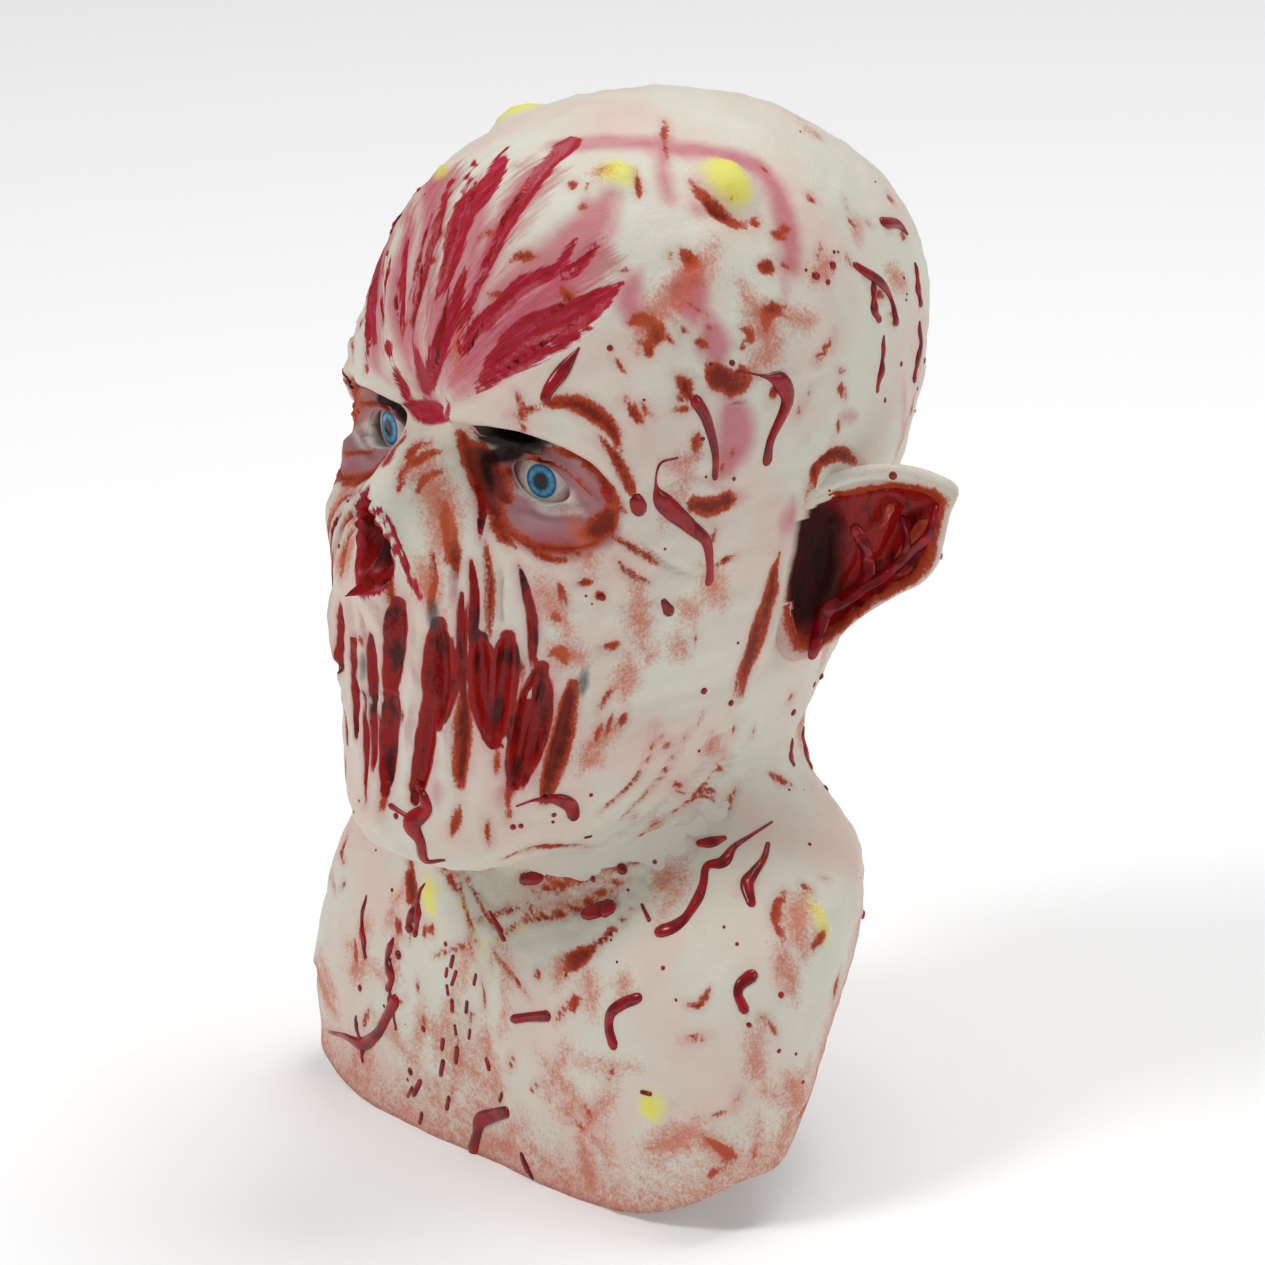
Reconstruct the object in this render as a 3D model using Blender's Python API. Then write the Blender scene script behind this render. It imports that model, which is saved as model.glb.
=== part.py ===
"""Zombie mask: a slip-over latex head with a neck and a chest flap, seen as worn.

Metres, +Z up, the face looks along -Y. The origin is the inside of the crown, where a head
bears. The skin is one casting: skull, face, ears, neck and chest flap. Two painted eye domes
sit behind its lids.
"""
import math

import bmesh
import bpy
import numpy as np

# Main sizes
HEAD_WIDTH = 0.164
HEAD_LENGTH = 0.220
HEAD_HEIGHT = 0.245
WALL = 0.0020
GAP = 0.0003

# Eyes: shallow domes turned outwards, placed by the middle of the iris
EYE_X = 0.235 * HEAD_WIDTH
EYE_Y = -0.386 * HEAD_LENGTH
EYE_Z = -0.431 * HEAD_HEIGHT
EYE_TURN = math.radians(14)
EYE_RADIUS = 0.026
EYE_REACH = 0.0134
EYE_BACK = 0.0020
LID_WIDTH = 0.0250
LID_HEIGHT = 0.0150
LID_TILT = math.radians(7)
LID_THICKNESS = 0.0021
LID_BLEND = 0.0015

# Vision holes under the brows
HOLE_X = 0.190 * HEAD_WIDTH
HOLE_Z = -0.365 * HEAD_HEIGHT
HOLE_Y = -0.430 * HEAD_LENGTH
HOLE_WIDTH = 0.0180
HOLE_HEIGHT = 0.0064
HOLE_TILT = math.radians(8)

# Nasal cavity
CAVITY_Z = -0.540 * HEAD_HEIGHT
CAVITY_HALF_WIDTH = 0.0125
CAVITY_HALF_HEIGHT = 0.0175
CAVITY_DEPTH = 0.0170

# Ears
EAR_ROOT = (0.470 * HEAD_WIDTH, 0.010 * HEAD_LENGTH, -0.520 * HEAD_HEIGHT)
EAR_LENGTH = 0.065
EAR_ANGLE = math.radians(53)

# Columns round the form: fine over the face, wide over the back
FACE_ANGLE = 66.0
FACE_COLUMNS = 42
BACK_COLUMNS = 22
# Rows of the outer surface for each row of the inner one
INNER_STEP = 3

# Sections from the crown to the edge of the flap.
# front_z, side_z and back_z are drops in head heights; half_width is in head widths;
# widest_y, front_y and back_y are in head lengths; the last two say how square the ends are.
# steps is the number of rows of faces down to the next section.
SECTION_COLUMNS = ("front_z", "side_z", "back_z", "widest_y", "half_width", "front_y", "back_y",
                   "front_square", "back_square", "steps")
SECTIONS = (
    (0.000, 0.000, 0.000, 0.000, 0.122, -0.120, 0.110, 2.00, 2.0, 1),
    (0.027, 0.027, 0.027, 0.000, 0.244, -0.262, 0.222, 2.00, 2.0, 1),
    (0.080, 0.080, 0.080, 0.000, 0.350, -0.376, 0.328, 2.00, 2.0, 2),
    (0.155, 0.155, 0.155, 0.000, 0.434, -0.436, 0.430, 2.05, 2.0, 2),
    (0.237, 0.237, 0.237, 0.000, 0.482, -0.471, 0.482, 2.10, 2.0, 2),
    (0.322, 0.322, 0.322, 0.000, 0.500, -0.486, 0.500, 2.20, 2.0, 4),
    (0.408, 0.408, 0.408, 0.000, 0.497, -0.509, 0.486, 2.25, 2.0, 4),
    (0.482, 0.482, 0.473, 0.000, 0.488, -0.530, 0.464, 2.30, 2.0, 4),
    (0.547, 0.547, 0.531, 0.000, 0.476, -0.545, 0.436, 2.30, 2.0, 4),
    (0.620, 0.616, 0.588, 0.000, 0.463, -0.550, 0.405, 2.35, 2.0, 3),
    (0.702, 0.686, 0.645, 0.000, 0.445, -0.550, 0.377, 2.40, 2.0, 3),
    (0.784, 0.743, 0.702, 0.000, 0.421, -0.545, 0.350, 2.40, 2.0, 3),
    (0.857, 0.792, 0.759, 0.000, 0.402, -0.550, 0.318, 2.40, 2.0, 3),
    (0.922, 0.833, 0.808, 0.000, 0.384, -0.555, 0.284, 2.35, 2.0, 2),
    (0.971, 0.865, 0.849, 0.000, 0.372, -0.541, 0.256, 2.25, 2.0, 2),
    (1.000, 0.890, 0.882, 0.000, 0.360, -0.486, 0.236, 2.10, 2.0, 1),
    (1.008, 0.910, 0.906, -0.005, 0.360, -0.400, 0.227, 2.00, 2.0, 1),
    (1.024, 0.939, 0.931, -0.014, 0.372, -0.318, 0.227, 2.00, 2.0, 1),
    (1.061, 0.992, 0.971, -0.055, 0.430, -0.309, 0.232, 2.00, 2.0, 1),
    (1.102, 1.045, 1.016, -0.095, 0.540, -0.330, 0.250, 2.20, 2.0, 2),
    (1.159, 1.102, 1.057, -0.136, 0.640, -0.350, 0.264, 2.50, 2.0, 2),
    (1.249, 1.192, 1.106, -0.173, 0.668, -0.364, 0.264, 2.80, 2.0, 2),
    (1.363, 1.302, 1.159, -0.195, 0.671, -0.368, 0.255, 3.20, 2.0, 2),
    (1.490, 1.410, 1.212, -0.205, 0.662, -0.364, 0.241, 3.40, 2.0, 0),
)

# Swellings and hollows of the face and neck, the same on both sides.
# x and wide are in head widths, z and tall in head heights, height is in metres.
SWELLING_COLUMNS = ("x", "z", "wide", "tall", "height")
SWELLINGS = (
    (0.000, -0.345, 0.110, 0.040, 0.0020),
    (0.200, -0.318, 0.130, 0.030, 0.0045),
    (0.400, -0.375, 0.085, 0.070, 0.0075),
    (0.225, -0.425, 0.125, 0.066, -0.0215),
    (0.000, -0.430, 0.085, 0.060, -0.0115),
    (0.340, -0.545, 0.140, 0.060, 0.0050),
    (0.370, -0.680, 0.110, 0.100, -0.0040),
    (0.170, -0.680, 0.090, 0.120, 0.0030),
    (0.000, -0.630, 0.110, 0.045, 0.0020),
    (0.000, -0.945, 0.150, 0.045, 0.0030),
    (0.350, -0.830, 0.100, 0.060, 0.0030),
    (0.450, -1.320, 0.220, 0.030, 0.0035),
    (0.000, -1.300, 0.060, 0.080, -0.0040),
)

# Upright hollows between the strands of flesh over the mouth.
# x and half_width are in head widths, top and bottom in head heights, depth is in metres.
STRAND_COLUMNS = ("x", "top", "bottom", "half_width", "depth")
STRANDS = (
    (0.000, -0.610, -0.880, 0.030, 0.0045),
    (0.088, -0.620, -0.900, 0.034, 0.0060),
    (0.146, -0.560, -0.760, 0.020, 0.0035),
    (0.205, -0.625, -0.830, 0.038, 0.0060),
    (0.262, -0.670, -0.900, 0.026, 0.0050),
    (0.312, -0.700, -0.870, 0.024, 0.0035),
)

# Outline of an ear, from the top of its root round its tip to the lobe and back up the root.
# back and up are in ear lengths from the root, in the plane of the ear.
EAR_OUTLINE = (
    (-0.12, 0.06), (0.04, 0.17), (0.24, 0.24), (0.45, 0.25), (0.64, 0.20), (0.78, 0.11),
    (0.74, -0.03), (0.71, -0.18), (0.68, -0.30), (0.60, -0.40), (0.48, -0.46), (0.34, -0.54),
    (0.23, -0.62), (0.13, -0.72), (0.00, -0.80), (-0.12, -0.80), (-0.17, -0.66),
    (-0.18, -0.48), (-0.18, -0.30), (-0.17, -0.10),
)
EAR_CENTRE = (0.27, -0.20)
# Loops of an ear from the back of its bowl over its edge to the floor of its bowl.
# size is a share of the outline, lift is in ear lengths out of the plane of the ear.
EAR_LOOPS = (
    (0.30, -0.260), (0.62, -0.180), (0.88, -0.075), (0.99, -0.025), (1.00, 0.020),
    (0.93, 0.045), (0.84, 0.030), (0.76, -0.030), (0.55, -0.110), (0.28, -0.140),
)


def clear_scene():
    """Start from an empty file."""
    for thing in list(bpy.data.objects):
        bpy.data.objects.remove(thing, do_unlink=True)
    for group in list(bpy.data.collections):
        bpy.data.collections.remove(group)


def new_collection(name):
    """Return a new collection in the scene."""
    group = bpy.data.collections.new(name)
    bpy.context.scene.collection.children.link(group)
    return group


def material(name, colour, roughness):
    """Return a plain Principled material."""
    made = bpy.data.materials.new(name)
    made.use_nodes = True
    shader = made.node_tree.nodes["Principled BSDF"]
    shader.inputs["Base Color"].default_value = (*colour, 1.0)
    shader.inputs["Roughness"].default_value = roughness
    made.diffuse_color = (*colour, 1.0)
    return made


def mesh_object(name, points, faces, group, finish=None):
    """Make an object from points and faces, its faces turned outwards."""
    mesh = bpy.data.meshes.new(name)
    mesh.from_pydata([tuple(p) for p in points], [], [tuple(f) for f in faces])
    mesh.validate()
    form = bmesh.new()
    form.from_mesh(mesh)
    bmesh.ops.recalc_face_normals(form, faces=form.faces)
    form.to_mesh(mesh)
    form.free()
    made = bpy.data.objects.new(name, mesh)
    group.objects.link(made)
    if finish is not None:
        mesh.materials.append(finish)
    return made


def combine(target, other, operation):
    """Apply an exact boolean of other to target."""
    step = target.modifiers.new(operation.lower(), "BOOLEAN")
    step.operation = operation
    step.solver = "EXACT"
    step.object = other
    graph = bpy.context.evaluated_depsgraph_get()
    mesh = bpy.data.meshes.new_from_object(target.evaluated_get(graph))
    target.modifiers.remove(step)
    old = target.data
    target.data = mesh
    mesh.name = target.name
    bpy.data.meshes.remove(old)


def ease(share):
    """Run smoothly from 0 to 1 as share does."""
    share = np.clip(share, 0.0, 1.0)
    return share * share * (3.0 - 2.0 * share)


def column_angles():
    """Angles of the columns round the form, 0 at the face and positive to the wearer's left."""
    face = np.linspace(-FACE_ANGLE, FACE_ANGLE, FACE_COLUMNS + 1)
    back = np.linspace(FACE_ANGLE, 360.0 - FACE_ANGLE, BACK_COLUMNS + 1)[1:-1]
    return np.radians(np.concatenate([face, back]))


def row_places():
    """Places of the rows down the form, in sections."""
    places = []
    for index, section in enumerate(SECTIONS):
        steps = max(section[-1], 1)
        last = index == len(SECTIONS) - 1
        places.extend(index + k / steps for k in range(1 if last else steps))
    return np.array(places)


def blend_sections(places):
    """Section values at each place, running smoothly through the table."""
    table = np.array([row[:-1] for row in SECTIONS])
    change = np.diff(table, axis=0)
    before, after = change[:-1], change[1:]
    same_way = before * after > 0
    total = np.where(same_way, before + after, 1.0)
    slope = np.zeros_like(table)
    slope[1:-1] = np.where(same_way, 2.0 * before * after / total, 0.0)
    slope[0], slope[-1] = change[0], change[-1]
    index = np.clip(np.floor(places).astype(int), 0, len(table) - 2)
    u = (places - index)[:, None]
    return ((2 * u**3 - 3 * u**2 + 1) * table[index] + (u**3 - 2 * u**2 + u) * slope[index]
            + (3 * u**2 - 2 * u**3) * table[index + 1] + (u**3 - u**2) * slope[index + 1])


def base_form(angles, places):
    """Points of the plain head, neck and flap: one row of points for each place."""
    columns = [value[:, None] for value in blend_sections(places).T]
    front_z, side_z, back_z, widest, half_width, front_y, back_y, front_sq, back_sq = columns
    around = np.degrees(np.abs((angles + math.pi) % (2 * math.pi) - math.pi))
    to_side = ease((around - 15) / 75)
    to_back = ease((around - 90) / 30)
    z = -(front_z + (side_z - front_z) * to_side + (back_z - side_z) * to_back) * HEAD_HEIGHT
    s, c = np.sin(angles), np.cos(angles)
    square = np.where(c > 0, front_sq, back_sq)
    reach = np.where(c > 0, widest - front_y, back_y - widest)
    x = half_width * np.sign(s) * np.abs(s) ** (2 / square) * HEAD_WIDTH
    y = (widest - reach * np.sign(c) * np.abs(c) ** (2 / square)) * HEAD_LENGTH
    return np.stack(np.broadcast_arrays(x, y, z), axis=-1)


def outward(points):
    """Unit directions out of a closed band of points."""
    around = np.roll(points, -1, axis=1) - np.roll(points, 1, axis=1)
    down = np.gradient(points, axis=0)
    out = np.cross(around, down)
    out /= np.linalg.norm(out, axis=2, keepdims=True) + 1e-12
    centre = np.array([0.0, -0.02, 0.0])
    sign = np.sign(np.sum(out * (points - centre) * [1, 1, 0], axis=2))[..., None]
    middle = np.where(sign == 0, 1.0, sign)
    return out * np.median(middle)


def facing(points):
    """How far each point belongs to the face side, from 0 to 1."""
    return ease((HEAD_LENGTH * 0.02 - points[..., 1]) / (HEAD_LENGTH * 0.15))


def relief(points):
    """Height of the swellings, strands and nasal cavity over the plain form."""
    x, z = np.abs(points[..., 0]), points[..., 2]
    height = np.zeros_like(x)
    for row in SWELLINGS:
        across = (x - row[0] * HEAD_WIDTH) / (row[2] * HEAD_WIDTH)
        along = (z - row[1] * HEAD_HEIGHT) / (row[3] * HEAD_HEIGHT)
        height += row[4] * np.exp(-across**2 - along**2)
    for row in STRANDS:
        across = (x - row[0] * HEAD_WIDTH) / (row[3] * HEAD_WIDTH)
        along = (row[1] * HEAD_HEIGHT - z) / ((row[1] - row[2]) * HEAD_HEIGHT)
        run = ease(along * 6) * ease((1 - along) * 3)
        height -= row[4] * np.clip(1 - across**2, 0, 1) ** 1.5 * run
    below = (z - CAVITY_Z * 1.0) / CAVITY_HALF_HEIGHT
    narrowing = CAVITY_HALF_WIDTH * (0.80 - 0.30 * np.clip(below, -1, 1))
    reach = np.sqrt((x / narrowing) ** 2 + below**2)
    height -= CAVITY_DEPTH * ease((1.15 - reach) / 0.8)
    return height * facing(points)


def lids(points):
    """Swell the points over each eye ball to make the lids."""
    swollen = points.copy()
    radius = EYE_RADIUS + GAP + LID_THICKNESS
    across = np.abs(points[..., 0]) - EYE_X + EYE_RADIUS * math.sin(EYE_TURN)
    along = points[..., 2] - EYE_Z
    inside = np.clip(radius**2 - across**2 - along**2, 0.0, None)
    lid_y = EYE_Y + EYE_RADIUS * math.cos(EYE_TURN) - np.sqrt(inside)
    over = (inside > 0) & (points[..., 1] < 0)
    apart = points[..., 1] - lid_y
    swollen[..., 1] -= 0.5 * (apart + np.sqrt(apart**2 + LID_BLEND**2)) * over
    return swollen


def skin_surfaces(wall=WALL):
    """Outer and inner surfaces of the latex, as bands of points."""
    angles = column_angles()
    places = row_places()
    plain = base_form(angles, places)
    out = outward(plain)
    forward = 0.85 * facing(plain)[..., None]
    along = out * (1 - forward) + np.array([0.0, -1.0, 0.0]) * forward
    outer = lids(plain + along * relief(plain)[..., None])
    height = np.sum((outer - plain) * along, axis=2) / np.sum(along * along, axis=2)
    low = height.copy()
    for shift in (-1, 1):
        low = np.minimum(low, np.roll(height, shift, axis=1))
    rows = [np.minimum(low[max(k - 1, 0)], np.minimum(low[k], low[min(k + 1, len(low) - 1)]))
            for k in range(len(low))]
    low = np.array(rows)
    low = (np.roll(low, 1, axis=1) + 2 * low + np.roll(low, -1, axis=1)) / 4
    inner = plain + along * low[..., None] - out * wall
    keep = [k for k in range(len(places)) if k % INNER_STEP == 0 or k == len(places) - 1]
    return outer, inner[keep]


def band_faces(rows, columns, first):
    """Faces of a closed band of points whose first point is number first."""
    faces = []
    for i in range(rows - 1):
        for j in range(columns):
            a = first + i * columns + j
            b = first + i * columns + (j + 1) % columns
            faces.append((a, a + columns, b + columns, b))
    return faces


def fan_faces(columns, first, pole):
    """Triangles from one loop of points to a pole."""
    return [(first + j, first + (j + 1) % columns, pole) for j in range(columns)]


def make_skin(group, finish):
    """The hollow shell without its ears and openings."""
    outer, inner = skin_surfaces()
    rows, columns = outer.shape[:2]
    inner_rows = inner.shape[0]
    second = rows * columns
    points = np.concatenate([outer.reshape(-1, 3), inner.reshape(-1, 3),
                             [(0.0, 0.0, WALL), (0.0, 0.0, 0.0)]])
    poles = len(points) - 2, len(points) - 1
    faces = band_faces(rows, columns, 0) + band_faces(inner_rows, columns, second)
    faces += fan_faces(columns, 0, poles[0]) + fan_faces(columns, second, poles[1])
    edge = (rows - 1) * columns
    inner_edge = second + (inner_rows - 1) * columns
    for j in range(columns):
        k = (j + 1) % columns
        faces.append((edge + j, edge + k, inner_edge + k, inner_edge + j))
    return mesh_object("latex_skin", points, faces, group, finish)


def make_hollow(group):
    """The space inside the middle of the latex, closed at the bottom, which trims the ears."""
    _, inner = skin_surfaces(WALL / 2)
    rows, columns = inner.shape[:2]
    low = inner[-1].mean(axis=0)
    points = np.concatenate([inner.reshape(-1, 3), [(0.0, 0.0, 0.0), low]])
    faces = band_faces(rows, columns, 0) + fan_faces(columns, 0, rows * columns)
    faces += fan_faces(columns, (rows - 1) * columns, rows * columns + 1)
    return mesh_object("hollow", points, faces, group)


def make_ear(group, side):
    """One cupped, pointed ear as a closed form, side +1 for the wearer's left."""
    back = np.array([math.cos(EAR_ANGLE), math.sin(EAR_ANGLE), 0.0])
    out = np.array([math.sin(EAR_ANGLE), -math.cos(EAR_ANGLE), 0.0])
    up = np.array([0.0, 0.0, 1.0])
    centre = np.array(EAR_CENTRE)
    outline = np.array(EAR_OUTLINE)
    points = []
    for size, lift in EAR_LOOPS:
        for spot in centre + size * (outline - centre):
            place = spot[0] * back + spot[1] * up + lift * out
            points.append(np.array(EAR_ROOT) + EAR_LENGTH * place)
    count = len(outline)
    for size, lift in (EAR_LOOPS[0], EAR_LOOPS[-1]):
        place = centre[0] * back + centre[1] * up + lift * out
        points.append(np.array(EAR_ROOT) + EAR_LENGTH * place)
    first_pole = len(points) - 2
    faces = band_faces(len(EAR_LOOPS), count, 0) + fan_faces(count, 0, first_pole)
    faces += fan_faces(count, (len(EAR_LOOPS) - 1) * count, first_pole + 1)
    points = [(side * p[0], p[1], p[2]) for p in points]
    return mesh_object("ear_form", points, faces, group)


def eye_frame(side):
    """Middle of the iris and the outward, sideways and upward directions of an eye."""
    middle = np.array([side * EYE_X, EYE_Y, EYE_Z])
    out = np.array([side * math.sin(EYE_TURN), -math.cos(EYE_TURN), 0.0])
    across = np.array([side * math.cos(EYE_TURN), math.sin(EYE_TURN), 0.0])
    return middle, out, across, np.array([0.0, 0.0, 1.0])


def eye_dome(name, side, grow, tail, group, finish=None):
    """A shallow cap of the eye ball, grown by grow and run on backwards by tail."""
    middle, out, across, up = eye_frame(side)
    radius = EYE_RADIUS + grow
    rings, count = 5, 20
    widest = math.asin(EYE_REACH / EYE_RADIUS)
    loops = [(radius * math.sin(widest * k / rings), radius * math.cos(widest * k / rings))
             for k in range(1, rings + 1)]
    loops.append((loops[-1][0], loops[-1][1] - tail))
    ball = middle - EYE_RADIUS * out
    points = [ball + radius * out]
    for reach, ahead in loops:
        for j in range(count):
            turn = 2 * math.pi * j / count
            spoke = math.cos(turn) * across + math.sin(turn) * up
            points.append(ball + ahead * out + reach * spoke)
    faces = fan_faces(count, 1, 0) + band_faces(len(loops), count, 1)
    faces.append([1 + (len(loops) - 1) * count + j for j in range(count)])
    return mesh_object(name, points, faces, group, finish)


def oval_bar(name, middle, axes, width, height, tilt, group):
    """A cutter with an oval section, running both ways along the first of its axes."""
    run, across, up = axes
    count = 20
    points = []
    for way in (0.020, -0.012):
        for j in range(count):
            turn = 2 * math.pi * j / count
            a, b = width / 2 * math.cos(turn), height / 2 * math.sin(turn)
            points.append(middle + way * run
                          + (a * math.cos(tilt) - b * math.sin(tilt)) * across
                          + (a * math.sin(tilt) + b * math.cos(tilt)) * up)
    faces = band_faces(2, count, 0)
    faces.append(range(count))
    faces.append(range(2 * count - 1, count - 1, -1))
    return mesh_object(name, points, faces, group)


def make_openings(side, group):
    """Cutters for the seat of an eye, the gap between its lids and its vision hole."""
    middle, out, across, up = eye_frame(side)
    hole = np.array([side * HOLE_X, HOLE_Y, HOLE_Z])
    ahead = np.array([0.0, -1.0, 0.0])
    return (eye_dome("eye_seat", side, GAP, 0.010, group),
            oval_bar("lid_gap", middle, (out, across, up), LID_WIDTH, LID_HEIGHT,
                     -LID_TILT, group),
            oval_bar("vision_hole", hole, (ahead, np.array([side, 0.0, 0.0]), up),
                     HOLE_WIDTH, HOLE_HEIGHT, HOLE_TILT, group))


def build():
    """Make every piece of the mask."""
    clear_scene()
    mask = new_collection("zombie_mask")
    cutters = new_collection("cutters")
    latex = material("painted_latex", (0.76, 0.72, 0.60), 0.5)
    eye_paint = material("painted_eye", (0.10, 0.30, 0.50), 0.2)

    skin = make_skin(mask, latex)
    hollow = make_hollow(cutters)
    tools = [hollow]
    for side in (1, -1):
        ear = make_ear(cutters, side)
        combine(ear, hollow, "DIFFERENCE")
        combine(skin, ear, "UNION")
        tools.append(ear)
    for side in (1, -1):
        for cutter in make_openings(side, cutters):
            combine(skin, cutter, "DIFFERENCE")
            tools.append(cutter)
    skin.data.materials.clear()
    skin.data.materials.append(latex)

    eye_dome("left_eye", 1, 0.0, EYE_BACK, mask, eye_paint)
    eye_dome("right_eye", -1, 0.0, EYE_BACK, mask, eye_paint)
    for cutter in tools:
        cutter.hide_render = True
        cutter.display_type = "WIRE"


build()
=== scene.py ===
"""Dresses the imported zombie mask: one slip-cast latex skin with painted wounds, a pair of
painted eyes behind its lids, and runs and drops of raised gloss blood.

Metres, +Z up, the face looks along -Y, and the origin is the inside of the crown.
"""
import math
import random

import bmesh
import bpy
import numpy as np
from bpy.props import FloatProperty, FloatVectorProperty, IntProperty, PointerProperty
from mathutils import Matrix, Vector
from mathutils.bvhtree import BVHTree
from mathutils.kdtree import KDTree


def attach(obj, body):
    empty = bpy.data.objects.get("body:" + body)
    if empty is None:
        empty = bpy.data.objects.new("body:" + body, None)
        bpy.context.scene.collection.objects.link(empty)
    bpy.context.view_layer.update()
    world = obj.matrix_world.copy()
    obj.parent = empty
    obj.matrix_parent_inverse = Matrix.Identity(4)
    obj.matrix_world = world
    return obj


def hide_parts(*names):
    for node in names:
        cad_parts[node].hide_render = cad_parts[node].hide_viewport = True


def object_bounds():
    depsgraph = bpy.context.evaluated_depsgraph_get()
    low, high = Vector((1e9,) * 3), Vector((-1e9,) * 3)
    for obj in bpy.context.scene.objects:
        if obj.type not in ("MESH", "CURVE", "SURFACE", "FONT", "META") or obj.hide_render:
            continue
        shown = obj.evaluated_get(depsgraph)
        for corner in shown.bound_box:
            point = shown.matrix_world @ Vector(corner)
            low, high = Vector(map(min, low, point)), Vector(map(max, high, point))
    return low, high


bl_info = {
    "name": "Zombie Mask",
    "version": (1, 0, 0),
    "blender": (4, 5, 0),
    "location": "View3D > Sidebar > Zombie Mask",
    "description": "Casts, paints and bloodies a slip-over latex zombie mask",
    "category": "Object",
}

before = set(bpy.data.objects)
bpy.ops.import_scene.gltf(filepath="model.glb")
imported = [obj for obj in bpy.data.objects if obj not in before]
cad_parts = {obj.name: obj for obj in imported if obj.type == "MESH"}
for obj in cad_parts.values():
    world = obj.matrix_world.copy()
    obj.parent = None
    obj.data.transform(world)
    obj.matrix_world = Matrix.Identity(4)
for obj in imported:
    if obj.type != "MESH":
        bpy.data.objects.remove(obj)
CAD_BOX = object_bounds()

# Sizes of the casting, in metres
HEAD_WIDTH = 0.164
HEAD_LENGTH = 0.220
HEAD_HEIGHT = 0.245
WALL = 0.0020
GAP = 0.0003

# Eyes: shallow domes turned outwards, placed by the middle of the iris
EYE_X = 0.235 * HEAD_WIDTH
EYE_Y = -0.386 * HEAD_LENGTH
EYE_Z = -0.431 * HEAD_HEIGHT
EYE_TURN = math.radians(14)
EYE_RADIUS = 0.026
EYE_REACH = 0.0134
EYE_BACK = 0.0020
LID_WIDTH = 0.0255
LID_HEIGHT = 0.0130
LID_TILT = math.radians(11)
LID_THICKNESS = 0.0021
LID_BLEND = 0.0015

# Vision holes under the brows
HOLE_X = 0.190 * HEAD_WIDTH
HOLE_Y = -0.430 * HEAD_LENGTH
HOLE_Z = -0.365 * HEAD_HEIGHT
HOLE_WIDTH = 0.0200
HOLE_HEIGHT = 0.0078
HOLE_TILT = math.radians(8)

# Nasal cavity
CAVITY_Z = -0.514 * HEAD_HEIGHT
CAVITY_HALF_WIDTH = 0.0110
CAVITY_HALF_HEIGHT = 0.0175
CAVITY_DEPTH = 0.0170

# Ears
EAR_ROOT = (0.470 * HEAD_WIDTH, 0.010 * HEAD_LENGTH, -0.520 * HEAD_HEIGHT)
EAR_LENGTH = 0.065
EAR_ANGLE = math.radians(53)

FACE_ANGLE = 66.0
# Root of the nose, where the forehead muscles meet
ROOT_Z = -0.375 * HEAD_HEIGHT

# Camera at the photograph's angle
VIEW_AZIMUTH = math.radians(47)
VIEW_HEIGHT = math.radians(20)
VIEW_DISTANCE = 2.4
VIEW_TARGET = Vector((0.0226, -0.0283, -0.1773))
PICTURE = 1265
PIXELS_PER_METRE = 2920.0

# Sections from the crown to the edge of the flap.
# The first three are drops in head heights, half_width is in head widths, widest_y, front_y
# and back_y are in head lengths, and the last two say how square the ends are.
SECTIONS = (
    (0.000, 0.000, 0.000, 0.000, 0.122, -0.120, 0.110, 2.00, 2.0, 1),
    (0.027, 0.027, 0.027, 0.000, 0.244, -0.262, 0.222, 2.00, 2.0, 1),
    (0.080, 0.080, 0.080, 0.000, 0.350, -0.376, 0.328, 2.00, 2.0, 2),
    (0.155, 0.155, 0.155, 0.000, 0.434, -0.436, 0.430, 2.05, 2.0, 2),
    (0.237, 0.237, 0.237, 0.000, 0.482, -0.471, 0.482, 2.10, 2.0, 2),
    (0.322, 0.322, 0.322, 0.000, 0.500, -0.486, 0.500, 2.20, 2.0, 4),
    (0.408, 0.408, 0.408, 0.000, 0.497, -0.509, 0.486, 2.25, 2.0, 4),
    (0.482, 0.482, 0.473, 0.000, 0.488, -0.530, 0.464, 2.30, 2.0, 4),
    (0.547, 0.547, 0.531, 0.000, 0.476, -0.545, 0.436, 2.30, 2.0, 4),
    (0.620, 0.616, 0.588, 0.000, 0.463, -0.550, 0.405, 2.35, 2.0, 3),
    (0.702, 0.686, 0.645, 0.000, 0.445, -0.550, 0.377, 2.40, 2.0, 3),
    (0.784, 0.743, 0.702, 0.000, 0.421, -0.545, 0.350, 2.40, 2.0, 3),
    (0.857, 0.792, 0.759, 0.000, 0.402, -0.550, 0.318, 2.40, 2.0, 3),
    (0.922, 0.833, 0.808, 0.000, 0.384, -0.555, 0.284, 2.35, 2.0, 2),
    (0.971, 0.865, 0.849, 0.000, 0.372, -0.541, 0.256, 2.25, 2.0, 2),
    (1.000, 0.890, 0.882, 0.000, 0.360, -0.486, 0.236, 2.10, 2.0, 1),
    (1.008, 0.910, 0.906, -0.005, 0.360, -0.400, 0.227, 2.00, 2.0, 1),
    (1.024, 0.939, 0.931, -0.014, 0.372, -0.318, 0.227, 2.00, 2.0, 1),
    (1.061, 0.992, 0.971, -0.055, 0.430, -0.309, 0.232, 2.00, 2.0, 1),
    (1.102, 1.045, 1.016, -0.095, 0.540, -0.330, 0.250, 2.20, 2.0, 2),
    (1.159, 1.102, 1.057, -0.136, 0.640, -0.350, 0.264, 2.50, 2.0, 2),
    (1.249, 1.192, 1.106, -0.173, 0.668, -0.364, 0.264, 2.80, 2.0, 2),
    (1.363, 1.302, 1.159, -0.195, 0.671, -0.368, 0.255, 3.20, 2.0, 2),
    (1.490, 1.410, 1.212, -0.205, 0.662, -0.364, 0.241, 3.40, 2.0, 0),
)

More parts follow.
